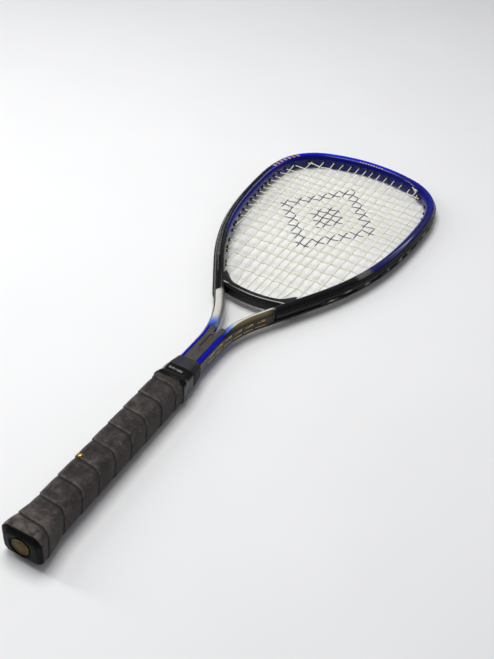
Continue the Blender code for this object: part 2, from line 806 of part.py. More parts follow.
def turned(radius, low, high, axis, centre, sides=12):
    """Closed cylinder between two places along an axis through a point."""
    first = axis.orthogonal().normalized()
    second = axis.cross(first)
    rings = []
    for place in (low, high):
        rings.append([centre + axis * place + (first * math.cos(a) + second * math.sin(a)) * radius
                      for a in (2 * math.pi * k / sides for k in range(sides))])
    return loft(rings)


PIN_LOW = SHAFT_B + 1.2 * MM
PIN_TOP = PALLET[1] + 0.5 * MM


def pin_hole(side):
    name = "pin_hole_front" if side > 0 else "pin_hole_back"
    found = bpy.data.objects.get(name)
    if found:
        return found
    centre = Vector((0, PIN_Y, 0))
    return tool(name, [turned(PIN_RADIUS + GAP, PIN_LOW - GAP, PIN_TOP + 8 * MM, Vector((0, 0, side)), centre, 8)])


def build_butt():
    # Outer rings from the flat end up the flare, then inner rings back down to the floor.
    rim_x, rim_z = (half + flare + RIM_RISE for half, flare in zip(PALLET, FLARE))
    flat_x, flat_z = rim_x - END_BEVEL[0], rim_z - END_BEVEL[1]
    outside = [octagon(flat_x, flat_z, 0.0), octagon(rim_x, rim_z, END_BEVEL_Y),
               octagon(rim_x, rim_z, CAP_RIM_Y - GAP)]
    heights = [CAP_RIM_Y - GAP + 0.01 * MM, FLARE_LOW_Y, CAP_TOP_Y]
    outside += [octagon(*handle_core(y), y) for y in heights]
    room = tuple(half + GAP for half in PALLET)
    inside = [octagon(*room, y) for y in (CAP_TOP_Y, CAP_FLOOR_Y)]
    cap = solid("butt_cap", *loft(outside + inside), "black_nylon")
    centre = Vector((0, 0, 0))
    along = Vector((0, 1, 0))
    pocket = tool("emblem_pocket", [turned(EMBLEM_RADIUS + GAP, -2 * MM, EMBLEM_THICK + GAP, along, centre, 24)])
    combine(cap, pocket, "DIFFERENCE")
    for side in (1, -1):
        combine(cap, pin_hole(side), "DIFFERENCE")
        name = "butt_pin_front" if side > 0 else "butt_pin_back"
        pin = turned(PIN_RADIUS, PIN_LOW, PIN_TOP, Vector((0, 0, side)), Vector((0, PIN_Y, 0)), 8)
        solid(name, *pin, "steel")
    smooth(cap, 30)
    emblem = solid("butt_emblem", *turned(EMBLEM_RADIUS, 0, EMBLEM_THICK, along, centre, 24), "brass")
    smooth(emblem, 30)


def build_base_grip():
    inner = grown(handle_core, GAP)
    outer = grown(handle_core, GAP + BASE_GRIP_THICK)
    heights = [CAP_RIM_Y, FLARE_LOW_Y, FLARE_TOP_Y, BASE_GRIP_TOP_Y]
    sleeve("base_grip", heights, outer, inner, "base_grip")


def overgrip_inside(y):
    return grown(handle_core, 2 * GAP + BASE_GRIP_THICK)(y)


def overgrip_ring(turn, growth):
    """Place on the handle's soft octagon at an angle, as a function of height."""
    column = turn % OVERGRIP_SIDES

    def at(y):
        half_x, half_z = overgrip_inside(y)
        return octagon(half_x + growth, half_z + growth, y)[column]
    return at


def ribbon_bend(low, high):
    """Where the ribbon bends over the flare's ends, or else its middle."""
    for y in (FLARE_LOW_Y, FLARE_TOP_Y):
        if low + 0.3 * MM < y < high - 0.3 * MM:
            return y
    return (low + high) / 2


def build_overgrip():
    """One ribbon wound on the handle, cut parallel to the handle's ends."""
    low_end, high_end = CAP_RIM_Y, OVERGRIP_TOP_Y
    width = OVERGRIP_PITCH - GAP
    turns = math.ceil((high_end - low_end) / OVERGRIP_PITCH) + 1
    rings = []
    for k in range(-OVERGRIP_SIDES, turns * OVERGRIP_SIDES + 1):
        base = low_end + OVERGRIP_LEAD + OVERGRIP_PITCH * (k / OVERGRIP_SIDES - 1)
        low, high = max(base, low_end), min(base + width, high_end)
        if high - low < MM:
            continue
        across = [low, ribbon_bend(low, high), high]
        inside, outside = overgrip_ring(k, 0.0), overgrip_ring(k, OVERGRIP_THICK)
        rings.append([inside(y) for y in across] + [outside(y) for y in reversed(across)])
    grip = solid("overgrip", *loft(rings), "overgrip")
    combine(grip, tool("tack_hole", [tack_shape(TACK_SHANK + GAP)]), "DIFFERENCE")
    smooth(grip, 30)


TACK_SHANK = 0.6 * MM
TACK_HEAD = 2.1 * MM


def tack_axis():
    """Outward direction and surface point of the front face where the tack sits."""
    half_x, half_z = grown(overgrip_inside, OVERGRIP_THICK)(TACK_Y)
    edge = half_x - BEVEL * half_z
    return Vector((0, 0, 1)), Vector((TACK_INSET - edge, TACK_Y, half_z))


def tack_shape(radius):
    axis, centre = tack_axis()
    return turned(radius, -(OVERGRIP_THICK - 0.2 * MM), 2 * MM, axis, centre, 8)


def build_tack():
    axis, centre = tack_axis()
    first = Vector((0, 1, 0))
    second = axis.cross(first)
    profile = [(TACK_SHANK, -(OVERGRIP_THICK - 0.5 * MM)), (TACK_SHANK, GAP), (TACK_HEAD, GAP),
               (TACK_HEAD, 0.7 * MM), (0.6 * TACK_HEAD, 1.2 * MM), (0.2 * TACK_HEAD, 1.4 * MM)]
    rings = [[centre + axis * out + (first * math.cos(a) + second * math.sin(a)) * radius
              for a in (2 * math.pi * k / 12 for k in range(12))] for radius, out in profile]
    smooth(solid("grip_tack", *loft(rings), "brass"), 40)


def build_tape():
    """Finishing tape: over the overgrip's upper end, then drawn in on the bare handle."""
    wide = tuple(half + 3 * GAP + BASE_GRIP_THICK + OVERGRIP_THICK for half in PALLET)
    slim = tuple(half + 2 * GAP + BASE_GRIP_THICK for half in PALLET)

    def inner(y):
        part = share(y, 208.6 * MM, 213 * MM)
        return tuple(w + (s - w) * part for w, s in zip(wide, slim))
    heights = [y * MM for y in (203, 208.6, 213, 222)]
    sleeve("finishing_tape", heights, grown(inner, TAPE_THICK), inner, "black_gloss")


def build_collar():
    low = (14.0 * MM, 12.0 * MM)
    top = (12.7 * MM, 10.3 * MM)

    def outer(y):
        part = share(y, COLLAR_LOW_Y + 4 * MM, COLLAR_TOP_Y)
        return tuple(a + (b - a) * part for a, b in zip(low, top))
    heights = [COLLAR_LOW_Y, COLLAR_LOW_Y + 4 * MM, COLLAR_TOP_Y - 2 * MM, COLLAR_TOP_Y]
    outside = [octagon(*outer(y), y) for y in heights]
    inside = [shaft_room(y) for y in heights]
    collar = solid("collar", *loft(outside, inside), "rubber")
    smooth(collar, 30)


def shaft_room(y):
    """Room for the two shafts as a ring of as many points as the octagon's."""
    side, top = SHAFT_SIDE, SHAFT_TOP
    quarter = [(side[0], side[1] / 2), side, ((side[0] + top[0]) / 2, (side[1] + top[1]) / 2), top]
    ring = quarter + [(-x, z) for x, z in reversed(quarter)]
    ring += [(-x, -z) for x, z in ring]
    return [Vector((x, y, z)) for x, z in ring]


# ---------------------------------------------------------------- assembly

def build_all():
    clear_scene()
    holes = rim_holes()
    build_frame(holes)
    build_strips(holes)
    build_bridge()
    build_throat_plates()
    build_strings()
    build_pallets()
    build_butt()
    build_base_grip()
    build_overgrip()
    build_tack()
    build_tape()
    build_collar()


build_all()
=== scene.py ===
from math import ceil, copysign, cos, pi, radians, sin

import bmesh
import bpy
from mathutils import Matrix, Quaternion, Vector, noise


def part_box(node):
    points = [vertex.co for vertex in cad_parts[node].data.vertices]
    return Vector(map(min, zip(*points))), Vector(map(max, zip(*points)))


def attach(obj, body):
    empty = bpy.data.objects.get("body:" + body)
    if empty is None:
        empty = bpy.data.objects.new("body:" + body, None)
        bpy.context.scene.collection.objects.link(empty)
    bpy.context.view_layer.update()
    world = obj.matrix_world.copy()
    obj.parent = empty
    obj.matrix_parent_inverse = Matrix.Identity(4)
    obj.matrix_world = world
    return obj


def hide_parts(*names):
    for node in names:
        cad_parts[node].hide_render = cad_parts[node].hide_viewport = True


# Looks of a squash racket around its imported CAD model. Units are metres, in the model's
# own frame: origin at the centre of the flat butt end, +Y to the tip, +X across, +Z front.

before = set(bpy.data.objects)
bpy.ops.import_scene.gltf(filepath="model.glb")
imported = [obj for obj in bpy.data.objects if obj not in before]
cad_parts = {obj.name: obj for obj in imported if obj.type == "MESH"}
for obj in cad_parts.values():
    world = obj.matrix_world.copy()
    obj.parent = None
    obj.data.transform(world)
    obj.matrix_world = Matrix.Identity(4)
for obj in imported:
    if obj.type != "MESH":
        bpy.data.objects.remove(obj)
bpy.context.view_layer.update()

MM = 0.001

# ---- sizes from the frame

TIP_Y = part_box("head_bumper")[1].y
HOOP_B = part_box("frame")[1].z                 # half depth of the hoop's tube
SHAFT_END_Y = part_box("frame")[0].y
COLLAR_LOW, COLLAR_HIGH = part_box("collar")
TAPE_LOW, TAPE_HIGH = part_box("finishing_tape")
GRIP_LOW, GRIP_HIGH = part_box("overgrip")
CAP_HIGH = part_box("butt_cap")[1]
PLATE_LOW, PLATE_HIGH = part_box("throat_plate_front")
TACK_LOW, TACK_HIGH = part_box("grip_tack")
EMBLEM_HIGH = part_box("butt_emblem")[1]
STRIP_END_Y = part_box("side_strip_right")[0].y

# These repeat the CAD model's driving dimensions; strings and barrels are made round here.
BUMPER_RISE = 7 * MM
TUBE_A = 5.5 * MM
SHAFT_B = 8.5 * MM
GROOVE_DEPTH = 1.6 * MM
SEAT_DEPTH = 1.9 * MM
SEAT_EDGE = 1.4 * MM
GROOVE_HALF = 4.7 * MM
SHAFT_X = 5.8 * MM
RIM_ARCS = ((158, 21.0), (65, 77.0), (149, 90.0), (593, 97.5), (323, 117.5), (493, 119.0))
THROAT_RADIUS = 127 * MM
GROOVE_END_Y = 346 * MM
SEAT_TOP_Y = 292 * MM
FADE = 9 * MM
HOOP_DEPTH_Y = 380 * MM
SHAFT_DEPTH_Y = 320 * MM

BRIDGE_Y = 361 * MM
BRIDGE_RADIUS = 95 * MM
BRIDGE_A = 4.0 * MM
BRIDGE_B = 7.0 * MM
BRIDGE_REACH = 42 * MM
BRIDGE_GROOVE = 2.2 * MM
BRIDGE_STRIP_REACH = 33 * MM
BRIDGE_COVER_REACH = 35 * MM

STRING_RADIUS = 0.62 * MM
STRING_SIDES = 8
LAYER = 0.75 * MM
MAINS = 8
MAIN_FIRST = 4.3 * MM
MAIN_GAP = 9.0 * MM
MAIN_GAP_GROWTH = 0.11 * MM
FAN = 0.45
FAN_Y = 570 * MM
CROSS_MIDDLE_Y = 573.8 * MM
CROSSES_BELOW = 12
CROSSES_ABOVE = 6
CROSS_GAP_BELOW = (10.2 * MM, 0.10 * MM)
CROSS_GAP_ABOVE = (10.8 * MM, 0.20 * MM)
BRIDGE_MAINS = 4
BRIDGE_LAST_HOLE = 27.3 * MM

BARREL_OUT = 1.7 * MM
HOLE_SPACING = 4.8 * MM
BEND_OUT = 0.8 * MM
STRIP_HALF_WIDTH = 4.4 * MM
STRIP_FLOOR = TUBE_A - GROOVE_DEPTH + 1.1 * MM
LOOP_OUT = STRIP_FLOOR + 1.05 * MM
LOOP_SIDE = 1.38 * MM
LOOP_RAMP = 2.6 * MM
TAIL = 7 * MM
MOUTH = -(TUBE_A + BARREL_OUT + BEND_OUT)
BRIDGE_TOP = BRIDGE_A + 2.2 * MM
BRIDGE_MOUTH = -(BRIDGE_TOP + BEND_OUT)
BRIDGE_LOOP = BRIDGE_A - BRIDGE_GROOVE + 0.9 * MM
BUMPER_END_Y = 612 * MM

PALLET = (12.3 * MM, 10.4 * MM)
BEVEL = 0.36
SOFT = 1.0 * MM
FLARE = (3.4 * MM, 2.2 * MM)
FLARE_LOW_Y = 8 * MM
FLARE_TOP_Y = 31 * MM
BASE_GRIP = 1.4 * MM
GAP = 0.3 * MM
OVERGRIP_PITCH = 22.5 * MM
OVERGRIP_LEAD = 8.3 * MM
END_BEVEL = (2.6 * MM, 4.2 * MM)
COLLAR_TOP = (12.7 * MM, 10.3 * MM)

# The visible bridge's webs, and throat plates with arms and a slot of their own
WEB = 19 * MM
PLATE_EDGE = 0.95 * MM
PLATE_ARM_IN = 5.3 * MM
PLATE_BEND_Y = 266 * MM
PLATE_CROTCH_Y = 285 * MM
PLATE_SLOT_HALF = 2.0 * MM
PLATE_SLOT_Y = (258.5 * MM, 281.5 * MM)
PLATE_RISE = 1.5 * MM

# Looks only: a print film's thickness, where the flank's colours change, heights of the marks
# and of the edge of the tape's second turn
FILM = 0.05 * MM
BRIDGE_LINE_Y = 348 * MM
HEAD_BARS_Y = (603 * MM, 648 * MM)
SHAFT_LINES_Y = (338 * MM, 252 * MM)
SECOND_TURN_Y = (211.5 * MM, 212.1 * MM)


def srgb(*levels):
    """Linear colour from 0 to 255 display levels."""
    return tuple((v / 255 / 12.92) if v < 11 else ((v / 255 + 0.055) / 1.055) ** 2.4 for v in levels)


BRIGHT = srgb(0, 18, 205)
ROYAL = srgb(0, 14, 186)
DEEP = srgb(4, 14, 134)
NAVY = srgb(10, 16, 84)
WALL = srgb(4, 10, 112)
SHADE = srgb(2, 8, 96)
SKY = srgb(70, 112, 205)
SILVER = srgb(206, 203, 196)
SMOKE = srgb(88, 84, 83)
DUSK = srgb(36, 35, 40)
WARM = srgb(130, 125, 119)
BLACK = srgb(9, 9, 11)
UMBER = srgb(30, 26, 20)
BRONZE = srgb(98, 89, 64)
STEEL_BLUE = srgb(120, 132, 160)

# Paint along the rim, from the handle to the tip: (height, colour)
LEFT_FRONT = ((0.290, ROYAL), (0.298, SKY), (0.311, SILVER), (0.344, SILVER), (0.352, BLACK),
              (0.404, BLACK), (0.420, DUSK), (0.434, DUSK), (0.452, NAVY), (0.560, NAVY),
              (0.610, ROYAL), (0.660, BRIGHT))
RIGHT_FRONT = ((0.286, ROYAL), (0.295, SKY), (0.307, SILVER), (0.345, SILVER), (0.350, BLACK),
               (0.440, BLACK), (0.447, SMOKE), (0.458, SMOKE), (0.468, NAVY), (0.600, NAVY),
               (0.645, DEEP), (0.672, DEEP), (0.6792, BRIGHT))
# Inner wall: the paint's own bands, in darker copies of the front's colours that are painted shade.
INNER_SHADED = ((0.290, ROYAL), (0.300, STEEL_BLUE), (0.316, WARM), (0.346, WARM), (0.352, BLACK),
         (0.430, BLACK), (0.460, WALL), (0.620, WALL), (0.660, SHADE), (0.679, SHADE))


# ---- curves

def share(value, low, high):
    """0 at low, 1 at high, straight between them."""
    return min(1.0, max(0.0, (value - low) / (high - low)))


def ease(value, low, high):
    part = share(value, low, high)
    return part * part * (3 - 2 * part)


def blend(first, second, part):
    return tuple(p + (q - p) * part for p, q in zip(first, second))


def spaced(low, high, count):
    """Equal steps from low to high, both included."""
    return [low + (high - low) * k / count for k in range(count + 1)]


def normal(heading):
    angle = radians(heading)
    return Vector((sin(angle), cos(angle), 0))


def tangent(heading):
    angle = radians(heading)
    return Vector((cos(angle), -sin(angle), 0))


class Rim:
    """The rim's centre line from the tip down to the handle; negative lengths are mirrored."""

    def __init__(self):
        self.spans = []
        self.length = 0.0
        self.point = Vector((0, TIP_Y - BUMPER_RISE, 0))
        self.heading = 0.0
        for radius, heading in RIM_ARCS:
            self.add_arc(radius * MM, heading)
        tilt = radians(self.heading - 90)
        bend = THROAT_RADIUS * (1 - cos(tilt))
        self.add_line((self.point.x - SHAFT_X - bend) / sin(tilt))
        self.add_arc(-THROAT_RADIUS, 90.0)
        self.add_line(self.point.y - SHAFT_END_Y)

    def add_arc(self, radius, heading):
        centre = self.point - normal(self.heading) * radius
        length = abs(radius * radians(heading - self.heading))
        self.spans.append((self.length, length, centre, radius, self.heading, heading))
        self.point = centre + normal(heading) * radius
        self.heading = heading
        self.length += length

    def add_line(self, length):
        self.spans.append((self.length, length, self.point.copy(), None, self.heading, self.heading))
        self.point = self.point + tangent(self.heading) * length
        self.length += length

    def at(self, s):
        reach = min(abs(s), self.length)
        for begin, length, anchor, radius, first, last in self.spans:
            if reach <= begin + length + 1e-9:
                break
        if radius is None:
            point = anchor + tangent(first) * (reach - begin)
            outward = normal(first)
        else:
            outward = normal(first + (last - first) * (reach - begin) / length)
            point = anchor + outward * radius
        if s < 0:
            point = Vector((-point.x, point.y, 0))
            outward = Vector((-outward.x, outward.y, 0))
        return point, outward

    def place(self, s, out, z=0.0):
        point, outward = self.at(s)
        return point + outward * out + Vector((0, 0, z))

    def length_at_y(self, y):
        return solve(lambda s: y - self.at(s)[0].y, 0.0, self.length)


class Bridge:
    """The bridge's arc, bowed towards the handle; out is towards the throat opening."""

    def place(self, s, out, z=0.0):
        turn = s / BRIDGE_RADIUS
        radius = BRIDGE_RADIUS + out
        return Vector((radius * sin(turn), BRIDGE_Y + BRIDGE_RADIUS - radius * cos(turn), z))


def solve(function, low, high):
    """Root of a function that changes sign once between low and high."""
    rising = function(low) < 0
    for _ in range(60):
        middle = (low + high) / 2
        if (function(middle) < 0) == rising:
            low = middle
        else:
            high = middle
    return low


RIM = Rim()
BRIDGE = Bridge()


# ---- mesh helpers

def rounded(points, times):
    """Closed outline with its corners cut, so that it becomes a smooth one."""
    for _ in range(times):
        cut = []
        for k, (a, b) in enumerate(points):
            c, d = points[(k + 1) % len(points)]
            cut.append((0.75 * a + 0.25 * c, 0.75 * b + 0.25 * d))
            cut.append((0.25 * a + 0.75 * c, 0.25 * b + 0.75 * d))
        points = cut
    return points


def mirrored(upper, times):
    """Smooth closed outline from its upper half."""
    return rounded(upper + [(u, -z) for u, z in reversed(upper)], times)


def loft(rings, closed=False):
    """Points and faces of a skin over equal rings, with end caps unless the rings close."""
    count = len(rings[0])
    verts = [p for ring in rings for p in ring]
    faces = []
    total = len(rings)
    for row in range(total if closed else total - 1):
        for k in range(count):
            a, b = row * count, (row + 1) % total * count
            j = (k + 1) % count
            faces.append((a + k, a + j, b + j, b + k))
    if not closed:
        faces.append(tuple(reversed(range(count))))
        faces.append(tuple(range((total - 1) * count, total * count)))
    return verts, faces


def merge(parts):
    verts, faces = [], []
    for part_verts, part_faces in parts:
        shift = len(verts)
        verts += part_verts
        faces += [tuple(i + shift for i in f) for f in part_faces]
    return verts, faces


def add_object(name, data):
    made = bpy.data.objects.new(name, data)
    bpy.context.scene.collection.objects.link(made)
    return made


def mesh_of(name, shape):
    mesh = bpy.data.meshes.new(name)
    mesh.from_pydata([tuple(v) for v in shape[0]], [], shape[1])
    return mesh


def piece(name, shape, finish, slot, nodes=(), sharp=38, **layers):
    """One visible piece from points and faces, riding on the racket's only body."""
    mesh = mesh_of(name, shape)
    mesh.validate()
    made = add_object(name, mesh)
    outward(mesh)
    mesh.shade_smooth()
    mesh.set_sharp_from_angle(angle=radians(sharp))
    mesh.materials.append(finish)
    for key, values in layers.items():
        add_layer(mesh, key, values)
    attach(made, "root")
    if nodes:
        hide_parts(*nodes)
    return made


def outward(mesh):
    """Turns every face of a mesh of closed shells outwards."""
    work = bmesh.new()
    work.from_mesh(mesh)
    bmesh.ops.recalc_face_normals(work, faces=work.faces)
    work.to_mesh(mesh)
    work.free()


def add_layer(mesh, name, values):
    """A number or a colour for each point; points past the last number get 0."""
    if isinstance(values[0], tuple):
        layer = mesh.attributes.new(name, "FLOAT_COLOR", "POINT")
        layer.data.foreach_set("color", [c for colour in values for c in (*colour, 1.0)])
    else:
        layer = mesh.attributes.new(name, "FLOAT", "POINT")
        layer.data.foreach_set("value", values + [0.0] * (len(mesh.vertices) - len(values)))


def circle(centre, first, second, radius, sides):
    angles = [2 * pi * k / sides for k in range(sides)]
    return [centre + (first * cos(a) + second * sin(a)) * radius for a in angles]


def turned(profile, centre, axis, sides):
    """Rings round an axis from (radius, out) pairs."""
    first = axis.orthogonal().normalized()
    second = axis.cross(first)
    return [circle(centre + axis * out, first, second, radius, sides) for radius, out in profile]


def tube(points, radius, sides=STRING_SIDES):
    """Round tube along a path, carried along without twist."""
    rings = []
    side = None
    for k, point in enumerate(points):
        before = point - points[k - 1] if k else points[1] - point
        after = points[k + 1] - point if k < len(points) - 1 else before
        along = (before.normalized() + after.normalized()).normalized()
        if side is None:
            side = along.orthogonal()
        side = (side - along * side.dot(along)).normalized()
        rings.append(circle(point, side, along.cross(side), radius, sides))
    return loft(rings)


def filleted(points, radius, steps=4):
    """Path with each sharp corner replaced by a short curve."""
    result = [points[0]]
    for before, here, after in zip(points, points[1:], points[2:]):
        back, ahead = before - here, after - here
        reach = min(radius, back.length * 0.45, ahead.length * 0.45)
        straight = back.normalized().dot(ahead.normalized()) < -0.97
        if straight or reach < 1e-5:
            result.append(here)
            continue
        start, end = here + back.normalized() * reach, here + ahead.normalized() * reach
        for k in range(steps + 1):
            t = k / steps
            result.append(start * (1 - t) ** 2 + here * 2 * t * (1 - t) + end * t * t)
    return result + [points[-1]]


def surface_noise(p, scale, seed):
    return noise.noise(p * scale + Vector((seed, seed * 1.7, seed * 0.6)))


def from_axis(p):
    """Direction of a point from the handle's axis."""
    return Vector((p.x, 0, p.z)).normalized()


# ---- materials

class Finish:
    """A Principled material and short ways to add its procedural detail."""

    def __init__(self, name, roughness, metallic=0.0, **constants):
        self.material = bpy.data.materials.new(name)
        self.material.use_nodes = True
        self.tree = self.material.node_tree
        self.shader = self.tree.nodes["Principled BSDF"]
        constants.update(Roughness=roughness, Metallic=metallic)
        for key, value in constants.items():
            self.feed(self.shader.inputs[key.replace("_", " ")], value)
        self.place = self.node("ShaderNodeTexCoord").outputs["Object"]

    def feed(self, socket, value):
        """Links a socket to another one's output, or gives it a constant."""
        if isinstance(value, bpy.types.NodeSocket):
            self.tree.links.new(value, socket)
        elif socket.type == "RGBA":
            socket.default_value = (*value, 1.0)
        else:
            socket.default_value = value

    def node(self, kind, sockets=(), **settings):
        """A node with its settings and its (socket, value) pairs."""
        made = self.tree.nodes.new(kind)
        for key, value in settings.items():
            setattr(made, key, value)
        for key, value in sockets:
            self.feed(made.inputs[key], value)
        return made

    def stretched(self, *scale):
        return self.node("ShaderNodeMapping", [("Vector", self.place), ("Scale", scale)]).outputs["Vector"]

    def noise(self, scale, detail=3.0, rough=0.55, vector=None):
        sockets = [("Scale", scale), ("Detail", detail), ("Roughness", rough)]
        sockets.append(("Vector", vector or self.place))
        return self.node("ShaderNodeTexNoise", sockets).outputs["Fac"]

    def cells(self, scale):
        sockets = [("Scale", scale), ("Vector", self.place)]
        return self.node("ShaderNodeTexVoronoi", sockets).outputs["Distance"]

    def attribute(self, name, output="Fac"):
        return self.node("ShaderNodeAttribute", attribute_name=name).outputs[output]

    def axes(self, vector):
        return self.node("ShaderNodeSeparateXYZ", [("Vector", vector)]).outputs

    def facing(self):
        """How far the surface faces the front, from -1 to 1."""
        return self.axes(self.node("ShaderNodeNewGeometry").outputs["Normal"])["Z"]

    def painted_side_shade(self, source, low, high, least):
        """The colour with painted shade: darkened on surfaces that do not face the front or the back."""
        flat = self.maths("ABSOLUTE", self.facing())
        shade = self.node("ShaderNodeCombineColor")
        for socket in shade.inputs:
            self.feed(socket, self.span(flat, low, high, least, 1.0))
        return self.mix(1.0, source, shade.outputs["Color"], "MULTIPLY")

    def ramp(self, source, *stops):
        """Colour ramp through (place, grey) or (place, red, green, blue) in display levels."""
        made = self.node("ShaderNodeValToRGB", [("Fac", source)])
        elements = made.color_ramp.elements
        while len(elements) < len(stops):
            elements.new(0.5)
        for element, (place, *levels) in zip(elements, stops):
            element.position = place
            element.color = (*(srgb(*levels) if len(levels) == 3 else levels * 3), 1.0)
        return made.outputs["Color"]

    def span(self, source, low, high, to_low=0.0, to_high=1.0):
        sockets = [("Value", source), ("From Min", low), ("From Max", high), ("To Min", to_low),
                   ("To Max", to_high)]
        return self.node("ShaderNodeMapRange", sockets).outputs["Result"]

    def maths(self, operation, first, second=0.0, third=0.5):
        sockets = [(0, first), (1, second), (2, third)]
        return self.node("ShaderNodeMath", sockets, operation=operation).outputs["Value"]

    def mix(self, factor, first, second, blend="MIX"):
        sockets = [(0, factor), (6, first), (7, second)]
        return self.node("ShaderNodeMix", sockets, data_type="RGBA", blend_type=blend).outputs[2]

    def colour(self, source):
        self.feed(self.shader.inputs["Base Color"], source)

    def roughness(self, source, low, high):
        self.feed(self.shader.inputs["Roughness"], self.span(source, 0.3, 0.7, low, high))

    def bump(self, source, depth, strength=0.5):
        """Bump whose depth is in metres, added on top of any bump made before."""
        sockets = [("Strength", strength), ("Distance", depth), ("Height", source)]
        target = self.shader.inputs["Normal"]
        if target.is_linked:
            sockets.append(("Normal", target.links[0].from_socket))
        self.feed(target, self.node("ShaderNodeBump", sockets).outputs["Normal"])

    def grained(self, grain, stops, polish, dents, side_shade=None):
        """Colour and polish that follow one grain, and (scale, depth, strength) of small dents."""
        scale, depth, strength = dents
        paint = self.ramp(grain, *stops)
        # A (low, high, least) triple, when given, darkens the sides as painted shade.
        self.colour(self.painted_side_shade(paint, *side_shade) if side_shade else paint)
        self.roughness(grain, *polish)
        self.bump(self.noise(scale, 2) if scale else grain, depth, strength)
        return self.material


def paint_finish():
    """Fading lacquer over a dark flank, with flakes, fine scratches and a clear coat."""
    made = Finish("racket_lacquer", 0.3, Coat_Weight=0.5, Coat_Roughness=0.05, Coat_IOR=1.38,
                  Specular_IOR_Level=0.1)
    front, flank = made.attribute("front_paint", "Color"), made.attribute("flank_paint", "Color")
    edge = made.span(made.attribute("flank_edge"), -0.12, 0.12)
    paint = made.mix(edge, front, flank)
    flakes = made.ramp(made.cells(5200), (0.0, 1.25), (0.5, 0.92))
    paint = made.mix(0.35, paint, flakes, "MULTIPLY")
    scratch = made.noise(34, 5, 0.7, made.stretched(30, 3, 12))
    scuffed = made.ramp(scratch, (0.68, 0.0), (0.76, 0.3))
    made.colour(made.mix(scuffed, paint, srgb(96, 98, 108)))
    made.roughness(scratch, 0.16, 0.42)
    made.bump(made.noise(420, 2), 0.00008, 0.25)
    return made.material


def nylon_finish(name, base, scuff, amount, specular=0.3):
    """Moulded nylon with scuffs and dust in its grain; the wear layer says where it is rubbed."""
    made = Finish(name, 0.45, Specular_IOR_Level=specular)
    rubbed = made.maths("MULTIPLY", made.attribute("wear"), made.noise(160, 5, 0.7))
    streak = made.noise(90, 4, 0.6, made.stretched(6, 1, 6))
    worn = made.ramp(made.maths("ADD", rubbed, made.maths("MULTIPLY", streak, amount)),
                     (0.30, 0.0), (0.62, 1.0))
    made.colour(made.mix(worn, srgb(*base), srgb(*scuff)))
    made.roughness(streak, 0.3, 0.62)
    made.bump(made.noise(900, 3), 0.0001, 0.35)
    return made.material


def string_finish():
    """Natural multifilament string with printed ink in a plain diamond, and grime at the rim."""
    made = Finish("string_natural", 0.42, Subsurface_Weight=0.08, Coat_Weight=0.25, Coat_Roughness=0.2)
    middle_y, half_x, half_y = 0.545, 0.062, 0.078
    parts = made.axes(made.place)
    across = made.maths("DIVIDE", made.maths("ABSOLUTE", parts["X"]), half_x)
    along = made.maths("ABSOLUTE", made.maths("SUBTRACT", parts["Y"], middle_y))
    reach = made.maths("ADD", across, made.maths("DIVIDE", along, half_y))
    ring = made.maths("COMPARE", reach, 0.86, 0.13)
    heart = made.maths("LESS_THAN", reach, 0.36)
    shape = made.maths("MAXIMUM", ring, heart)
    top = made.span(made.facing(), -0.1, 0.25)
    patchy = made.span(made.noise(260, 3), 0.22, 0.36)
    ink = made.maths("MULTIPLY", made.maths("MULTIPLY", shape, top), patchy)
    strands = made.noise(300, 3, 0.6, made.stretched(4, 4, 1))
    cream = made.ramp(strands, (0.3, 214, 208, 176), (0.7, 246, 243, 220))
    printed = made.mix(ink, cream, srgb(14, 18, 36))
    dirty = made.maths("MULTIPLY", made.attribute("grime"), made.span(made.noise(45, 3), 0.62, 0.5))
    made.colour(made.mix(dirty, printed, srgb(30, 28, 28)))
    made.roughness(strands, 0.3, 0.55)
    made.bump(strands, 0.00006, 0.4)
    return made.material


def grip_finish():
    """Worn suede: mottled warm charcoal, rubbed paler on its lips, with painted shadow in its seams and
    painted shade on its sides.
    """
    made = Finish("suede_overgrip", 0.92, Sheen_Weight=0.35, Sheen_Roughness=0.6,
                  Specular_IOR_Level=0.25, Sheen_Tint=(0.5, 0.45, 0.44))
    broad = made.noise(75, 6, 0.7)
    nap = made.noise(620, 6, 0.8)
    base = made.ramp(broad, (0.36, 24, 21, 21), (0.5, 50, 45, 43), (0.64, 77, 70, 66))
    mottle = made.ramp(nap, (0.36, 0.25), (0.5, 0.85), (0.64, 1.6))
    base = made.mix(0.85, base, mottle, "MULTIPLY")
    rub = made.maths("MULTIPLY", made.attribute("wear"), made.span(made.noise(140, 5, 0.7), 0.35, 0.65))
    base = made.mix(rub, base, srgb(112, 104, 98))
    # Painted shadow in each seam, under the next turn's lip.
    base = made.mix(made.attribute("crease"), base, srgb(14, 12, 12))
    # Painted shade: the sides darker than the faces turned to the front and back.
    made.colour(made.painted_side_shade(base, 0.1, 0.85, 0.38))
    made.bump(broad, 0.0006, 0.3)
    made.bump(nap, 0.00045, 0.7)
    made.bump(made.cells(1500), 0.0002, 0.4)
    return made.material


def rubber_finish():
    made = Finish("collar_rubber", 0.6, Specular_IOR_Level=0.12)
    stops = ((0.3, 44, 43, 46), (0.62, 56, 55, 58), (0.8, 78, 76, 76))
    dents = (1400, 0.00008, 0.5)
    # The last triple darkens the collar's sides: painted shade.
    return made.grained(made.noise(70, 5, 0.65), stops, (0.42, 0.68), dents, (0.3, 0.9, 0.25))


def tape_finish():
    made = Finish("black_vinyl_tape", 0.24, Coat_Weight=0.12, Coat_Roughness=0.08,
                  Specular_IOR_Level=0.2)
    crinkle = made.noise(70, 3, 0.5, made.stretched(1, 3, 1))
    return made.grained(crinkle, ((0.35, 7, 7, 8), (0.75, 20, 19, 20)), (0.16, 0.36), (None, 0.0003, 0.4))


def plate_finish():
    made = Finish("throat_plate_satin", 0.45, Coat_Weight=0.15, Coat_Roughness=0.3)
    grain = made.noise(120, 5, 0.6, made.stretched(5, 1, 5))
    stops = ((0.32, 52, 47, 43), (0.6, 63, 58, 55), (0.8, 76, 71, 67))
    return made.grained(grain, stops, (0.34, 0.56), (1000, 0.00007, 0.4))


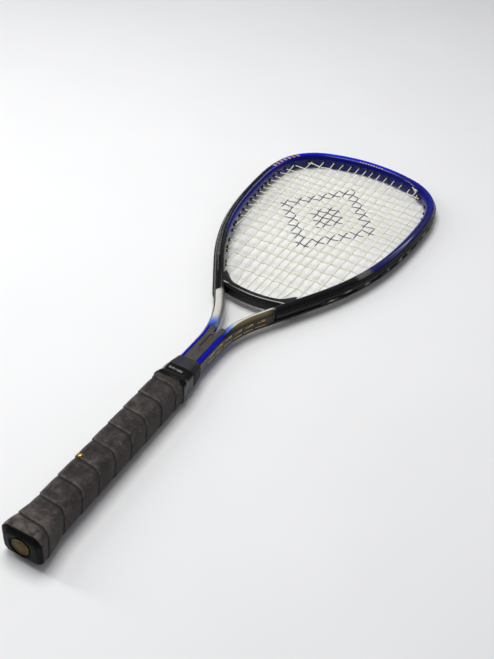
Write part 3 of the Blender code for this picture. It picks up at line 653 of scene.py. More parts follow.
def gloss_black_finish():
    made = Finish("bridge_lacquer", 0.2, Coat_Weight=0.5, Coat_Roughness=0.05, Coat_IOR=1.4)
    haze = made.noise(60, 5, 0.6, made.stretched(1, 6, 2))
    stops = ((0.35, 7, 7, 8), (0.72, 20, 20, 22), (0.8, 52, 52, 54))
    return made.grained(haze, stops, (0.12, 0.35), (500, 0.00006, 0.25))


def metal_finish(name, low, high, roughness, metallic=1.0):
    """Metal or metallic print with a rubbed, slightly tarnished surface."""
    made = Finish(name, roughness, metallic)
    polish = (roughness * 0.7, roughness * 1.5)
    return made.grained(made.noise(300, 5, 0.7), ((0.35, *low), (0.6, *high)), polish, (1300, 0.00005, 0.4))


def foam_finish(name, low, high, scale):
    made = Finish(name, 0.85)
    pores = made.cells(scale)
    made.colour(made.ramp(pores, (0.1, *low), (0.6, *high)))
    made.bump(pores, 0.0002, 0.6)
    return made.material


def floor_finish():
    made = Finish("studio_floor", 0.6, Specular_IOR_Level=0.2)
    made.colour(made.ramp(made.noise(6, 3), (0.3, 0.86), (0.7, 0.88)))
    return made.material


# ---- frame tube

def half_depth_at(y):
    return SHAFT_B + (HOOP_B - SHAFT_B) * share(y, SHAFT_DEPTH_Y, HOOP_DEPTH_Y)


def tube_section(y):
    """The CAD tube's outline, with its corners rounded."""
    a, b = TUBE_A, half_depth_at(y)
    groove = GROOVE_DEPTH * share(y, GROOVE_END_Y - FADE, GROOVE_END_Y)
    seat = 1 - share(y, SEAT_TOP_Y, SEAT_TOP_Y + FADE)

    step = b - SEAT_DEPTH
    upper = [
        (a - groove, GROOVE_HALF),
        (a, 0.57 * b),
        (a, 0.72 * b),
        (0.55 * a, 1.03 * b),
        blend((-0.35 * a, 1.02 * b), (SEAT_EDGE, b), seat),
        blend((-0.78 * a, 0.80 * b), (SEAT_EDGE, step), seat),
        blend((-a, 0.40 * b), (-a, step), seat),
        (-a, 0.2 * b),
    ]
    return mirrored(upper, 2)


def colour_at(stops, y):
    for (low, first), (high, second) in zip(stops, stops[1:]):
        if y <= high:
            return blend(first, second, ease(y, low, high))
    return stops[-1][1]


def front_paint(s, y, u):
    """Colour of the lacquer where there is no dark flank."""
    face = colour_at(RIGHT_FRONT if s > 0 else LEFT_FRONT, y)
    # The inner wall's darker colours are painted shade.
    inside = colour_at(INNER_SHADED, y)
    return blend(inside, face, ease(u, -0.70 * TUBE_A, -0.10 * TUBE_A))


def flank_edge(s, y, u):
    """How far a point lies inside the dark flank, in millimetres."""
    if y < BRIDGE_LINE_Y:
        start = 0.85 - 0.80 * ease(y, 0.272, 0.322) if s > 0 else 0.70
        return (u - start * TUBE_A) / MM
    if s > 0 and y > 0.40:
        return (u - 0.80 * TUBE_A) / MM
    if s > 0:
        return (u + (y - BRIDGE_LINE_Y) * 0.02 - 0.3 * TUBE_A) / MM
    edge = -0.15 * TUBE_A + 1.4 * TUBE_A * ease(y, 0.590, 0.640)
    return (u - edge) / MM


def flank_paint(s, y, z):
    """Bronze shoulder over umber on the right shaft, black everywhere else."""
    if s < 0:
        return BLACK
    height = ease(abs(z), 0.60 * SHAFT_B, 1.0 * SHAFT_B)
    shoulder = blend(UMBER, BRONZE, height * ease(y, 0.285, 0.315))
    return blend(shoulder, BLACK, ease(y, 0.338, 0.350))


def build_frame(finish):
    count = round(2 * RIM.length / (2.5 * MM))
    rings, front, edges, flanks = [], [], [], []
    for k in range(count + 1):
        s = RIM.length * (2 * k / count - 1)
        y = RIM.at(s)[0].y
        section = tube_section(y)
        rings.append([RIM.place(s, u, z) for u, z in section])
        for u, z in section:
            front.append(front_paint(s, y, u))
            edges.append(flank_edge(s, y, u))
            flanks.append(flank_paint(s, y, z))
    piece("racket_frame", loft(rings), finish, "frame_paint", ["frame"], 50,
          front_paint=front, flank_paint=flanks, flank_edge=edges)


# ---- string layout

def main_x(index, y):
    x = MAIN_FIRST + sum(MAIN_GAP + MAIN_GAP_GROWTH * k * k for k in range(1, abs(index)))
    return copysign(x * (1 + FAN * (y - FAN_Y)), index)


def cross_heights():
    ys = [CROSS_MIDDLE_Y]
    for k in range(CROSSES_BELOW):
        ys.insert(0, ys[0] - CROSS_GAP_BELOW[0] - CROSS_GAP_BELOW[1] * k * k)
    for k in range(CROSSES_ABOVE):
        ys.append(ys[-1] + CROSS_GAP_ABOVE[0] + CROSS_GAP_ABOVE[1] * k * k)
    return ys


def main_end(index, curve, mouth, low, high):
    def miss(s):
        p = curve.place(s, mouth)
        return p.x - main_x(index, p.y)
    return solve(miss, low, high)


def spread(ends):
    """Move neighbouring holes apart until none is closer than the least spacing."""
    keys = sorted(ends, key=lambda k: ends[k])
    for _ in range(200):
        for a, b in zip(keys, keys[1:]):
            lack = HOLE_SPACING - (ends[b] - ends[a])
            if lack > 0:
                ends[a] -= lack / 2
                ends[b] += lack / 2
    return ends


def layout():
    widest = RIM.length_at_y(CROSS_MIDDLE_Y)
    throat = RIM.length_at_y(BRIDGE_Y)
    ends, bridge = {}, {}
    for index in range(1, MAINS + 1):
        ends["main_top", index] = main_end(index, RIM, MOUTH, 0, widest)
        if index <= BRIDGE_MAINS:
            wanted = main_end(index, BRIDGE, BRIDGE_MOUTH, 0, BRIDGE_REACH)
            bridge[index] = min(wanted, BRIDGE_LAST_HOLE)
        else:
            ends["main_low", index] = main_end(index, RIM, MOUTH, widest, throat)
    for number, y in enumerate(CROSS_YS):
        ends["cross", number] = solve(lambda s: RIM.place(s, MOUTH).y - y, 0, throat)
    return spread(ends), bridge


CROSS_YS = cross_heights()
RIM_ENDS, BRIDGE_ENDS = layout()
MAIN_ORDER = [i for i in range(-MAINS, MAINS + 1) if i]


def signed_end(kind, index):
    return copysign(RIM_ENDS[kind, abs(index)], index)


def low_end(index):
    if abs(index) <= BRIDGE_MAINS:
        return copysign(BRIDGE_ENDS[abs(index)], index)
    return signed_end("main_low", index)


def meet(index, number):
    """True if a main and a cross really cross inside the hoop."""
    y = CROSS_YS[number]
    top = RIM.place(RIM_ENDS["main_top", abs(index)], MOUTH).y
    low = BRIDGE_Y if abs(index) <= BRIDGE_MAINS else RIM.place(low_end(abs(index)), MOUTH).y
    side = RIM.place(RIM_ENDS["cross", number], MOUTH).x
    return low + MM < y < top - MM and abs(main_x(index, y)) < side - MM


def weave(index, number):
    """Which way the main goes at a crossing: in front of the cross or behind it."""
    return 1 if (MAIN_ORDER.index(index) + number) % 2 == 0 else -1


def woven(stops):
    """Points through (place, height) stops, rising and falling smoothly between them."""
    points = []
    steps = 4
    for (first, rise), (second, fall) in zip(stops, stops[1:]):
        for k in range(steps):
            t = k / steps
            flat = first.lerp(second, t)
            z = rise + (fall - rise) * (1 - cos(pi * t)) / 2
            points.append(Vector((flat.x, flat.y, z)))
    last, level = stops[-1]
    return points + [Vector((last.x, last.y, level))]


def loop_points(curve, start, end, out, layer, side):
    way = 1 if end > start else -1
    first, last = start + way * LOOP_RAMP, end - way * LOOP_RAMP
    steps = max(1, ceil(abs(last - first) / (4 * MM)))
    middle = [curve.place(s, out, side) for s in spaced(first, last, steps)]
    return [curve.place(start, out, layer)] + middle + [curve.place(end, out, layer)]


def tail_points(s, layer, side):
    way = -1 if s > 0 else 1
    return [RIM.place(s + way * TAIL, LOOP_OUT, side),
            RIM.place(s + way * LOOP_RAMP, LOOP_OUT, side), RIM.place(s, LOOP_OUT, layer)]


def main_run(index):
    """One main from its low hole to its top hole."""
    in_bridge = abs(index) <= BRIDGE_MAINS
    curve, mouth = (BRIDGE, BRIDGE_MOUTH) if in_bridge else (RIM, MOUTH)
    stops = [(curve.place(low_end(index), mouth), LAYER)]
    for number, y in enumerate(CROSS_YS):
        if meet(index, number):
            stops.append((Vector((main_x(index, y), y, 0)), weave(index, number) * STRING_RADIUS))
    stops.append((RIM.place(signed_end("main_top", index), MOUTH), LAYER))
    return woven(stops)


def main_path():
    points = tail_points(signed_end("main_top", -MAINS), LAYER, LOOP_SIDE)
    for order, index in enumerate(MAIN_ORDER):
        run = main_run(index)
        going_down = order % 2 == 0
        points += reversed(run) if going_down else run
        if order == len(MAIN_ORDER) - 1:
            break
        following = MAIN_ORDER[order + 1]
        if going_down and abs(index) <= BRIDGE_MAINS:
            points += loop_points(BRIDGE, low_end(index), low_end(following), BRIDGE_LOOP, LAYER, LAYER)
            continue
        ends = [low_end(i) if going_down else signed_end("main_top", i) for i in (index, following)]
        points += loop_points(RIM, *ends, LOOP_OUT, LAYER, LOOP_SIDE)
    return points + list(reversed(tail_points(signed_end("main_top", MAINS), LAYER, LOOP_SIDE)))


def cross_path():
    points = tail_points(-RIM_ENDS["cross", 0], -LAYER, -LOOP_SIDE)
    for number, y in enumerate(CROSS_YS):
        s = RIM_ENDS["cross", number]
        stops = [(RIM.place(-s, MOUTH), -LAYER)]
        for index in MAIN_ORDER:
            if meet(index, number):
                stops.append((Vector((main_x(index, y), y, 0)), -weave(index, number) * STRING_RADIUS))
        stops.append((RIM.place(s, MOUTH), -LAYER))
        run = woven(stops)
        to_right = number % 2 == 0
        points += run if to_right else reversed(run)
        side = 1 if to_right else -1
        if number < len(CROSS_YS) - 1:
            following = side * RIM_ENDS["cross", number + 1]
            points += loop_points(RIM, side * s, following, LOOP_OUT, -LAYER, -LOOP_SIDE)
        else:
            points += list(reversed(tail_points(side * s, -LAYER, -LOOP_SIDE)))
    return points


def knot_shape():
    """The tied-off end at the upper right: out of its hole, two turns and a bent tail."""
    s = (RIM_ENDS["main_top", 6] + RIM_ENDS["main_top", 7]) / 2
    wall = -TUBE_A - 0.9 * MM
    start = RIM.place(s - 5 * MM, wall, 5.5 * MM)
    corner = RIM.place(s + 5 * MM, wall - 0.6 * MM, 4.6 * MM)
    end = RIM.place(s + 8 * MM, wall - 7 * MM, 1.4 * MM)
    run = filleted([start, corner, end], 1.6 * MM)
    coil = []
    along = (corner - start).normalized()
    across = along.cross(Vector((0, 0, 1))).normalized()
    for k in range(41):
        turn = 2 * pi * 2.5 * k / 40
        reach = start.lerp(corner, 0.82) + along * (k / 40 - 0.5) * 3.2 * MM
        coil.append(reach + (across * cos(turn) + Vector((0, 0, 1)) * sin(turn)) * 1.2 * MM)
    return [tube(run, STRING_RADIUS), tube(coil, STRING_RADIUS)]


def rim_offset(p, stations):
    """How far outside the rim's centre line a point lies."""
    point, out = min(stations, key=lambda station: (station[0] - p).length_squared)
    return (p - point).dot(out)


def build_strings(finish):
    stations = [RIM.at(RIM.length * (k / 150 - 1)) for k in range(301)]
    shapes = (("woven_mains", main_path(), knot_shape(), "main_string"),
              ("woven_crosses", cross_path(), [], "cross_string"))
    for name, path, extra, node in shapes:
        smooth = filleted(path, 0.9 * MM)
        grime = []
        for p in smooth:
            grime += [ease(rim_offset(p, stations), 0.5 * MM, 3 * MM)] * STRING_SIDES
        shape = merge([tube(smooth, STRING_RADIUS)] + extra)
        piece(name, shape, finish, "string", [node], 70, grime=grime)


# ---- grommet strips

def strip_outline():
    floor, wide, groove = TUBE_A - GROOVE_DEPTH + GAP, STRIP_HALF_WIDTH, 2.4 * MM
    crown = BUMPER_RISE
    upper = [(STRIP_FLOOR, 0.45 * groove), (STRIP_FLOOR, groove), (crown - 0.3 * MM, groove + 0.2 * MM),
             (crown, groove + 0.6 * MM), (crown, wide - 0.7 * MM), (crown - 0.8 * MM, wide), (floor, wide)]
    return mirrored(upper, 1)


def barrel(curve, s, z, wall, mouth, base):
    """Grommet barrel with a flared root where it leaves the wall."""
    inside = curve.place(s, wall, z)
    axis = (curve.place(s, mouth, z) - inside).normalized()
    height = (curve.place(s, mouth, z) - inside).length
    profile = [(base, -0.6 * MM), (base, 0.1 * MM), (0.72 * base, 0.35 * height), (1.36 * MM, 0.7 * height),
               (1.28 * MM, height), (0.86 * MM, height), (0.8 * MM, -0.6 * MM)]
    return loft(turned(profile, inside, axis, 16), closed=True)


def holes_between(low, high):
    found = []
    for (kind, _), s in RIM_ENDS.items():
        for side in (1, -1):
            if low < side * s < high:
                found.append((side * s, -LAYER if kind == "cross" else LAYER))
    return found


def strip_wear(s, y, u):
    """Rubbed crown, most of all on the right shoulder and over the head."""
    crown = ease(u, BUMPER_RISE - 1.3 * MM, BUMPER_RISE)
    shoulder = ease(y, 0.50, 0.60) * (1.0 if s > 0 else 0.55)
    return crown * (0.25 + 0.75 * shoulder)


def build_strip(name, low, high, finish, slot, node):
    count = max(2, round((high - low) / (3 * MM)))
    outline = strip_outline()
    rings, wear = [], []
    for k, s in enumerate(spaced(low, high, count)):
        ends = min(k, count - k)
        drop = (1.2, 0.3)[ends] * MM if ends < 2 else 0.0
        rings.append([RIM.place(s, min(u, BUMPER_RISE - drop), z) for u, z in outline])
        y = RIM.at(s)[0].y
        wear += [strip_wear(s, y, u) for u, _ in outline]
    barrels = []
    for s, z in holes_between(low, high):
        barrels.append(barrel(RIM, s, z, -TUBE_A, -(TUBE_A + BARREL_OUT), 2.35 * MM))
    piece(name, merge([loft(rings)] + barrels), finish, slot, [node], 40, wear=wear)


def split_between(wanted, holes):
    ordered = sorted(holes)
    middles = [(a + b) / 2 for a, b in zip(ordered, ordered[1:])]
    return min(middles, key=lambda s: abs(s - wanted))


def build_strips(finish):
    split = split_between(RIM.length_at_y(BUMPER_END_Y), list(RIM_ENDS.values()))
    end = RIM.length_at_y(STRIP_END_Y)
    slot = "grommet_nylon"
    build_strip("bumper_guard", -split + GAP, split - GAP, finish, slot, "head_bumper")
    build_strip("grommets_right", split + GAP, end, finish, slot, "side_strip_right")
    build_strip("grommets_left", -end, -split - GAP, finish, slot, "side_strip_left")


# ---- throat

def bridge_rings(outline, reach, steps, inward=0.0, outward=0.0):
    """Rings along the bridge; its two edges swell where it runs into the shafts."""
    rings = []
    for k in range(2 * steps + 1):
        s = reach * (k / steps - 1)
        part = ease(abs(s), reach - WEB, reach) ** 1.5
        ring = []
        for u, z in outline:
            swell = inward if u < 0 else outward
            out = u * (1 + swell * part)
            lean = copysign(0.45 * part * max(0.0, -out), s)
            ring.append(BRIDGE.place(s + lean, out, z * (1 + 0.15 * part * min(1, swell))))
        rings.append(ring)
    return rings


def build_bridge(gloss, cream, nylon):
    a, b = BRIDGE_A, BRIDGE_B
    upper = [(a - BRIDGE_GROOVE, 1.5 * MM), (a - 0.4 * MM, 2.0 * MM), (a, 2.5 * MM), (a, 0.72 * b),
             (0.6 * a, b), (-0.6 * a, b), (-a, 0.8 * b), (-a, 0.3 * b)]
    bar = bridge_rings(mirrored(upper, 2), BRIDGE_REACH + MM, 40, 1.7, 1.3)
    piece("bridge_bar", loft(bar), gloss, "bridge_black", ["throat_bridge"], 50)

    low, high, wide = -a - 1.2 * MM, -a - GAP, 0.68 * b
    upper = [(low, 0.3 * wide), (low, wide - 0.5 * MM), (low + 0.4 * MM, wide), (high, wide)]
    shapes = [loft(bridge_rings(mirrored(upper, 1), BRIDGE_STRIP_REACH, 32))]
    for s in BRIDGE_ENDS.values():
        for side in (1, -1):
            shapes.append(barrel(BRIDGE, side * s, LAYER, low, -BRIDGE_TOP, 2.0 * MM))
    shape = merge(shapes)
    wear = [0.4] * len(shape[0])
    piece("bridge_grommets", shape, cream, "bridge_nylon", ["bridge_grommet_strip"], wear=wear)

    low, high = a + GAP, a + 1.3 * MM
    upper = [(low, 0.66 * b), (high - 0.3 * MM, 0.68 * b), (high, 0.56 * b), (high, 0.2 * b)]
    shape = loft(bridge_rings(mirrored(upper, 1), BRIDGE_COVER_REACH, 32))
    wear = [0.35] * len(shape[0])
    piece("bridge_trim", shape, nylon, "bridge_black", ["bridge_cover"], wear=wear)


def plate_outline():
    """Throat plate: lower edge, right arm with a rounded end, rounded crotch, then the mirror."""
    top = RIM.length_at_y(PLATE_HIGH.y + PLATE_RISE)
    bend = RIM.length_at_y(PLATE_BEND_Y)
    outer = [RIM.place(s, PLATE_EDGE) for s in spaced(bend, top, 16)]
    tip = RIM.place(top, -PLATE_ARM_IN)
    middle = (outer[-1] + tip) / 2
    half = (outer[-1] - tip) / 2
    ahead = Vector((-half.y, half.x, 0)).normalized() * 1.6 * MM
    arm = [middle + half * cos(a) + ahead * sin(a) for a in spaced(0, pi, 8)[1:]]
    crotch = []
    for angle in spaced(0, pi / 2, 14)[1:]:
        across = tip.x * max(0.0, cos(angle)) ** 0.45
        crotch.append(Vector((across, tip.y - (tip.y - PLATE_CROTCH_Y) * sin(angle), 0)))
    right = [Vector((outer[0].x, PLATE_LOW.y, 0))] + outer + arm + crotch
    return right + [Vector((-p.x, p.y, 0)) for p in reversed(right[:-1])]


def slot_outline():
    """Long slot with round ends along the middle of the plate."""
    low, high = PLATE_SLOT_Y
    half = PLATE_SLOT_HALF
    ring = []
    for middle, first in ((high - half, 0), (low + half, 180)):
        for k in range(13):
            angle = radians(first + 15 * k)
            ring.append(Vector((half * cos(angle), middle + half * sin(angle), 0)))
    return ring


def carve(made, shape):
    """Cuts a closed shape out of a piece's mesh for good."""
    mesh = mesh_of("cutter", shape)
    outward(mesh)
    cutter = add_object("cutter", mesh)
    cut = made.modifiers.new("cut", "BOOLEAN")
    cut.object = cutter
    cut.solver = "EXACT"
    bpy.context.view_layer.update()
    result = bpy.data.meshes.new_from_object(made.evaluated_get(bpy.context.evaluated_depsgraph_get()))
    made.modifiers.remove(cut)
    made.data = result
    bpy.data.objects.remove(cutter, do_unlink=True)


def build_throat_plates(finish):
    outline = plate_outline()
    thick = PLATE_HIGH.z - PLATE_LOW.z
    for name, side, node in (("throat_plate_a", 1, "throat_plate_front"),
                             ("throat_plate_b", -1, "throat_plate_back")):
        body = [[p + Vector((0, 0, side * z)) for p in outline] for z in (PLATE_LOW.z, PLATE_HIGH.z)]
        made = piece(name, loft(body), finish, "throat_plate", [node], 40)
        reach = (PLATE_LOW.z + 0.3 * thick, PLATE_HIGH.z + MM)
        carve(made, loft([[p + Vector((0, 0, side * z)) for p in slot_outline()] for z in reach]))
        bevel = made.modifiers.new("soft_edges", "BEVEL")
        bevel.width = 0.4 * MM
        bevel.segments = 3
        bevel.angle_limit = radians(50)


# ---- printed marks

def mark(curve, s_low, s_high, u_low, u_high, slant=0.0):
    """Thin bar following the tube's front face, between two lengths and two offsets; it draws print and
    painted highlights.
    """
    across = max(1, ceil((u_high - u_low) / (0.5 * MM)))
    steps = max(2, ceil(abs(s_high - s_low) / (1.5 * MM)))
    rings = []
    for s in spaced(s_low, s_high, steps):
        top = []
        for u in spaced(u_low, u_high, across):
            here = s + slant * (u - u_low)
            top.append(curve.place(here, u, face_height(u, here)))
        rings.append(top + [p - Vector((0, 0, 0.3 * MM)) for p in reversed(top)])
    return loft(rings)


def face_height(u, s):
    """Height of the front face above the middle plane at an offset, plus a film of print."""
    section = tube_section(RIM.at(s)[0].y)
    best = 0.0
    for (u1, z1), (u2, z2) in zip(section, section[1:]):
        if z1 > 0 and z2 > 0 and min(u1, u2) <= u <= max(u1, u2) and u1 != u2:
            best = max(best, z1 + (z2 - z1) * (u - u1) / (u2 - u1))
    return best + FILM


def side_mark(s_low, s_high, z_low, z_high):
    """Thin printed bar on the outer side of a shaft."""
    rings = []
    steps = max(2, ceil(abs(s_high - s_low) / (2 * MM)))
    lean = (z_high - z_low) * 0.9
    under, over = TUBE_A - 0.25 * MM, TUBE_A + FILM
    for s in spaced(s_low, s_high, steps):
        rings.append([RIM.place(s, under, z_low), RIM.place(s, over, z_low),
                      RIM.place(s - lean, over, z_high), RIM.place(s - lean, under, z_high)])
    return loft(rings)


def build_marks(gold, silver):
    """Plain bars and lines where the racket has printing, and thin silver streaks that are painted
    highlights.
    """
    start, end = (-RIM.length_at_y(y) for y in HEAD_BARS_Y)
    bars = 7
    pitch = (end - start) / bars
    shapes = []
    for k in range(bars):
        s = start + pitch * (k + 0.15)
        shapes.append(mark(RIM, s, s + pitch * 0.5, -2.4 * MM, 1.8 * MM, -0.4))
    for k in range(9):
        s = -16 * MM + k * 3.7 * MM
        shapes.append(mark(RIM, s, s + 1.9 * MM, -3.0 * MM, -2.4 * MM))
    piece("gold_bars_head", merge(shapes), gold, "frame_paint")

    low, high = (RIM.length_at_y(y) for y in SHAFT_LINES_Y)
    shapes = []
    bars = 6
    pitch = (high - low) / bars
    for side in (1, -1):
        for k in range(bars):
            s = low + pitch * (k + 0.1)
            for lift, part in ((-3.0, 0.80), (2.2, 0.66), (3.5, 0.34)):
                shapes.append(side_mark(side * s, side * (s + pitch * part), lift * MM, (lift + 0.7) * MM))
    piece("gold_lines_shafts", merge(shapes), gold, "frame_paint")

    # Painted highlights: thin silver streaks along the left hoop's black front.
    shapes = []
    for y_low, y_high, u in ((0.375, 0.470, 2.0), (0.392, 0.440, 3.1), (0.400, 0.520, 0.9)):
        s_low, s_high = -RIM.length_at_y(y_low), -RIM.length_at_y(y_high)
        shapes.append(mark(RIM, s_low, s_high, u * MM, (u + 0.35) * MM))
    piece("painted_highlight_streaks", merge(shapes), silver, "frame_paint")


# ---- handle

def handle_core(y):
    left = 1 - share(y, FLARE_LOW_Y, FLARE_TOP_Y)
    return tuple(half + flare * left for half, flare in zip(PALLET, FLARE))


def octagon(half, y, grow=0.0):
    """Eight-sided ring with blunted corners, smoothed, starting at the right side."""
    half_x, half_z = (h + grow for h in half)
    cut = BEVEL * half_z
    corners = [(half_x, half_z - cut), (half_x - cut, half_z)]
    corners += [(-x, z) for x, z in reversed(corners)]
    corners += [(-x, -z) for x, z in corners]
    ring = []
    for k, corner in enumerate(corners):
        here = Vector(corner)
        back, ahead = Vector(corners[k - 1]), Vector(corners[(k + 1) % 8])
        ring.append(tuple(here + (back - here).normalized() * SOFT))
        ring.append(tuple(here + (ahead - here).normalized() * SOFT))
    return [Vector((x, y, z)) for x, z in rounded(ring, 2)]


# Across the ribbon from its free lip to its tucked edge: (place, outer height, inner height)
RIBBON_PROFILE = ((0.0, 0.85, 0.85), (0.15, 1.16, 0.72), (0.6, 1.33, 0.70), (1.6, 1.38, 0.68),
                  (3.4, 1.34, 0.66), (4.6, 1.30, 0.10), (8.0, 1.26, 0.06), (12.0, 1.22, 0.05),
                  (15.5, 1.12, 0.05), (18.2, 0.98, 0.05), (20.2, 0.82, 0.05), (21.6, 0.68, 0.05),
                  (22.3, 0.60, 0.05), (23.5, 0.56, 0.05), (25.7, 0.35, 0.20))
COLUMNS = 64


def grip_surface(column, y, height):
    """Point above the base grip, in one of the columns round the handle."""
    half = [h + 2 * GAP + BASE_GRIP for h in handle_core(y)]
    return octagon(half, y, height)[column % COLUMNS]


def ribbon_ring(turn_column, low_end, high_end):
    """Cross-section of the wound ribbon at one column of its winding, or None outside."""
    wobble = noise.noise(Vector((turn_column * 0.11, 0.4, 0.2))) * 0.9 * MM
    lip = low_end + OVERGRIP_LEAD + OVERGRIP_PITCH * (turn_column / COLUMNS - 1) + wobble
    stops = []
    for place, outer, inner in RIBBON_PROFILE:
        y = lip + place * MM
        stops.append((min(max(y, low_end), high_end), outer * MM, inner * MM))
    if stops[-1][0] - stops[0][0] < 0.8 * MM:
        return None
    outside, inside, crease, wear = [], [], [], []
    for k, (y, outer, inner) in enumerate(stops):
        end = min(y - low_end, high_end - y)
        round_off = 0.35 * MM * (1 - ease(end, 0, 0.6 * MM))
        p = grip_surface(turn_column, y, outer - round_off)
        dent = surface_noise(p, 55, 3.0) * 0.16 * MM + surface_noise(p, 210, 9.0) * 0.07 * MM
        outside.append(p + from_axis(p) * dent)
        inside.append(grip_surface(turn_column, y, inner))
        place = RIBBON_PROFILE[k][0]
        # Painted shadow just below the next turn's lip.
        crease.append(ease(place, 20.6, 21.8) if y < high_end - MM else 0.0)
        butt = 1 - ease(y, 6 * MM, 30 * MM)
        wear.append(max(0.55 * (1 - ease(place, 0.8, 3.0)), 0.8 * butt))
    return outside + inside[::-1], crease + crease[::-1], wear + wear[::-1]


def build_overgrip(finish):
    low_end, high_end = GRIP_LOW.y, GRIP_HIGH.y
    turns = ceil((high_end - low_end) / OVERGRIP_PITCH) + 1
    rings, crease, wear = [], [], []
    for column in range(-COLUMNS, turns * COLUMNS + 1):
        found = ribbon_ring(column, low_end, high_end)
        if found is None:
            continue
        rings.append(found[0])
        crease += found[1]
        wear += found[2]
    piece("wound_overgrip", loft(rings), finish, "overgrip", ["overgrip"], 60, crease=crease, wear=wear)


def build_butt(plastic, gold):
    rim = (CAP_HIGH.x, CAP_HIGH.z)
    top = GRIP_LOW.y - GAP
    outside = []
    for back, y in ((1.0, 0.0), (0.93, 0.12), (0.10, 2.1), (0.0, 2.5)):
        outside.append(octagon([h - back * bevel for h, bevel in zip(rim, END_BEVEL)], y * MM))
    outside += [octagon(rim, top - 0.15 * MM), octagon(rim, top, -0.3 * MM)]
    outside += [octagon(handle_core(y), y) for y in (top + 0.05 * MM, FLARE_LOW_Y, CAP_HIGH.y)]
    face = outside[0]
    radius = EMBLEM_HIGH.x / MM
    inside = []
    for grow, depth in ((2.6, 0.0), (2.4, 0.25), (2.1, 0.9), (1.5, 1.2), (0.7, 1.1), (0.3, 1.6)):
        inside.append([from_axis(p) * (radius + grow) * MM + Vector((0, depth * MM, 0)) for p in face])
    floor = [p * 0.3 + Vector((0, 1.1 * MM, 0)) for p in inside[-1]]
    rings = [floor] + inside[::-1] + outside
    wear = [0.5 if 1.6 * MM < p.y < 2.8 * MM else 0.0 for ring in rings for p in ring]
    piece("flared_cap", loft(rings), plastic, "cap_plastic", ["butt_cap"], 35, wear=wear)
    build_emblem(gold, radius)


def build_emblem(gold, radius):
    """Plain medallion: a rim, a sunk field and a faceted boss with eight flats."""
    centre, axis = Vector((0, 0, 0)), Vector((0, 1, 0))
    profile = [(1.0, 1.2), (1.0, 0.45), (0.97, 0.2), (0.88, 0.2), (0.85, 0.5), (0.58, 0.6), (0.54, 0.35),
               (0.04, 0.12)]
    rings = turned([(r * radius * MM, out * MM) for r, out in profile], centre, axis, 64)
    for ring in rings[5:7]:
        for j, p in enumerate(ring):
            facet = 1 + 0.10 * abs(cos(pi * 8 * j / 64))
            ring[j] = Vector((p.x * facet, p.y, p.z * facet))
    piece("end_medallion", loft(rings), gold, "emblem_gold", ["butt_emblem"], 25)


def build_tape(finish, print_silver):
    """Glossy tape: a slightly slanting band, with a second turn over its lower part."""
    low, high = TAPE_LOW.y, TAPE_HIGH.y
    wide = tuple(half + 3 * GAP + BASE_GRIP + 1.3 * MM for half in PALLET)
    slim = tuple(half + 2 * GAP + BASE_GRIP for half in PALLET)

    def inner(y):
        return blend(wide, slim, ease(y, low + 4 * MM, low + 10.5 * MM))

    count = 24
    outside, inside = [], []
    for k in range(count + 1):
        ring_out, ring_in = [], []
        for j in range(COLUMNS):
            turn = 2 * pi * j / COLUMNS
            front_right = sin(turn)
            start = low + 0.9 * MM * (1 - cos(turn + 0.6))
            y = start + (high - start) * k / count
            half = inner(y)
            second_turn = 0.16 * MM * (1 - ease(y - 2.5 * MM * front_right, *SECOND_TURN_Y))
            edge = 0.12 * MM * (1 - ease(min(k, count - k), 0, 1.5))
            thick = 0.42 * MM + second_turn - edge
            p = octagon(half, y, thick)[j]
            wrinkle = noise.noise(Vector((p.x * 60, p.y * 700, p.z * 60))) * 0.10 * MM
            ring_out.append(p + from_axis(p) * wrinkle)
            ring_in.append(octagon(half, y, 0.05 * MM)[j])
        outside.append(ring_out)
        inside.append(ring_in)
    shape = loft(outside + inside[::-1], closed=True)
    piece("wrapped_tape", shape, finish, "finishing_tape", ["finishing_tape"], 60)
    build_tape_print(slim, print_silver)


# Printed dashes on the tape's front: (left edge, width, lower end, upper end) in millimetres
TAPE_DASHES = ((-7.4, 0.9, -0.9, 1.5), (-5.6, 0.7, -1.1, 1.0), (-3.9, 1.1, -0.7, 1.3),
               (-1.8, 0.8, -1.4, 0.8), (0.2, 0.6, -1.0, 1.1), (1.9, 1.0, -1.5, 0.7),
               (3.8, 0.7, -1.3, 0.9), (5.5, 0.9, -1.9, 0.4))
TAPE_DASHES_Y = 216


def build_tape_print(half, silver):
    """Row of plain slanted dashes along the tape's upper edge."""
    top = half[1] + 0.62 * MM
    shapes = []
    for x, width, low, high in TAPE_DASHES:
        corners = ((x, low), (x + width, low - 0.1), (x + width + 0.4, high), (x + 0.4, high + 0.1))
        slab = []
        for z in (top - 0.3 * MM, top + 0.06 * MM):
            slab.append([Vector((dx * MM, (TAPE_DASHES_Y + dy) * MM, z)) for dx, dy in corners])
        shapes.append(loft(slab))
    piece("tape_dashes", merge(shapes), silver, "finishing_tape")


def build_collar(finish):
    low, high = COLLAR_LOW.y, COLLAR_HIGH.y
    wide = (COLLAR_HIGH.x, COLLAR_HIGH.z)

    def outer(y):
        return blend(wide, COLLAR_TOP, ease(y, low + 3 * MM, high))

    rings = [octagon(wide, low, -0.5 * MM)]
    rings += [octagon(outer(y), y) for y in spaced(low + 0.5 * MM, high - 0.7 * MM, 12)]
    rings.append(octagon(outer(high), high, -0.45 * MM))
    room = (SHAFT_X + TUBE_A + GAP, SHAFT_B + GAP)
    rings += [octagon(room, y) for y in (high - 0.3 * MM, low)]
    piece("grip_collar", loft(rings, closed=True), finish, "collar_rubber", ["collar"], 50)


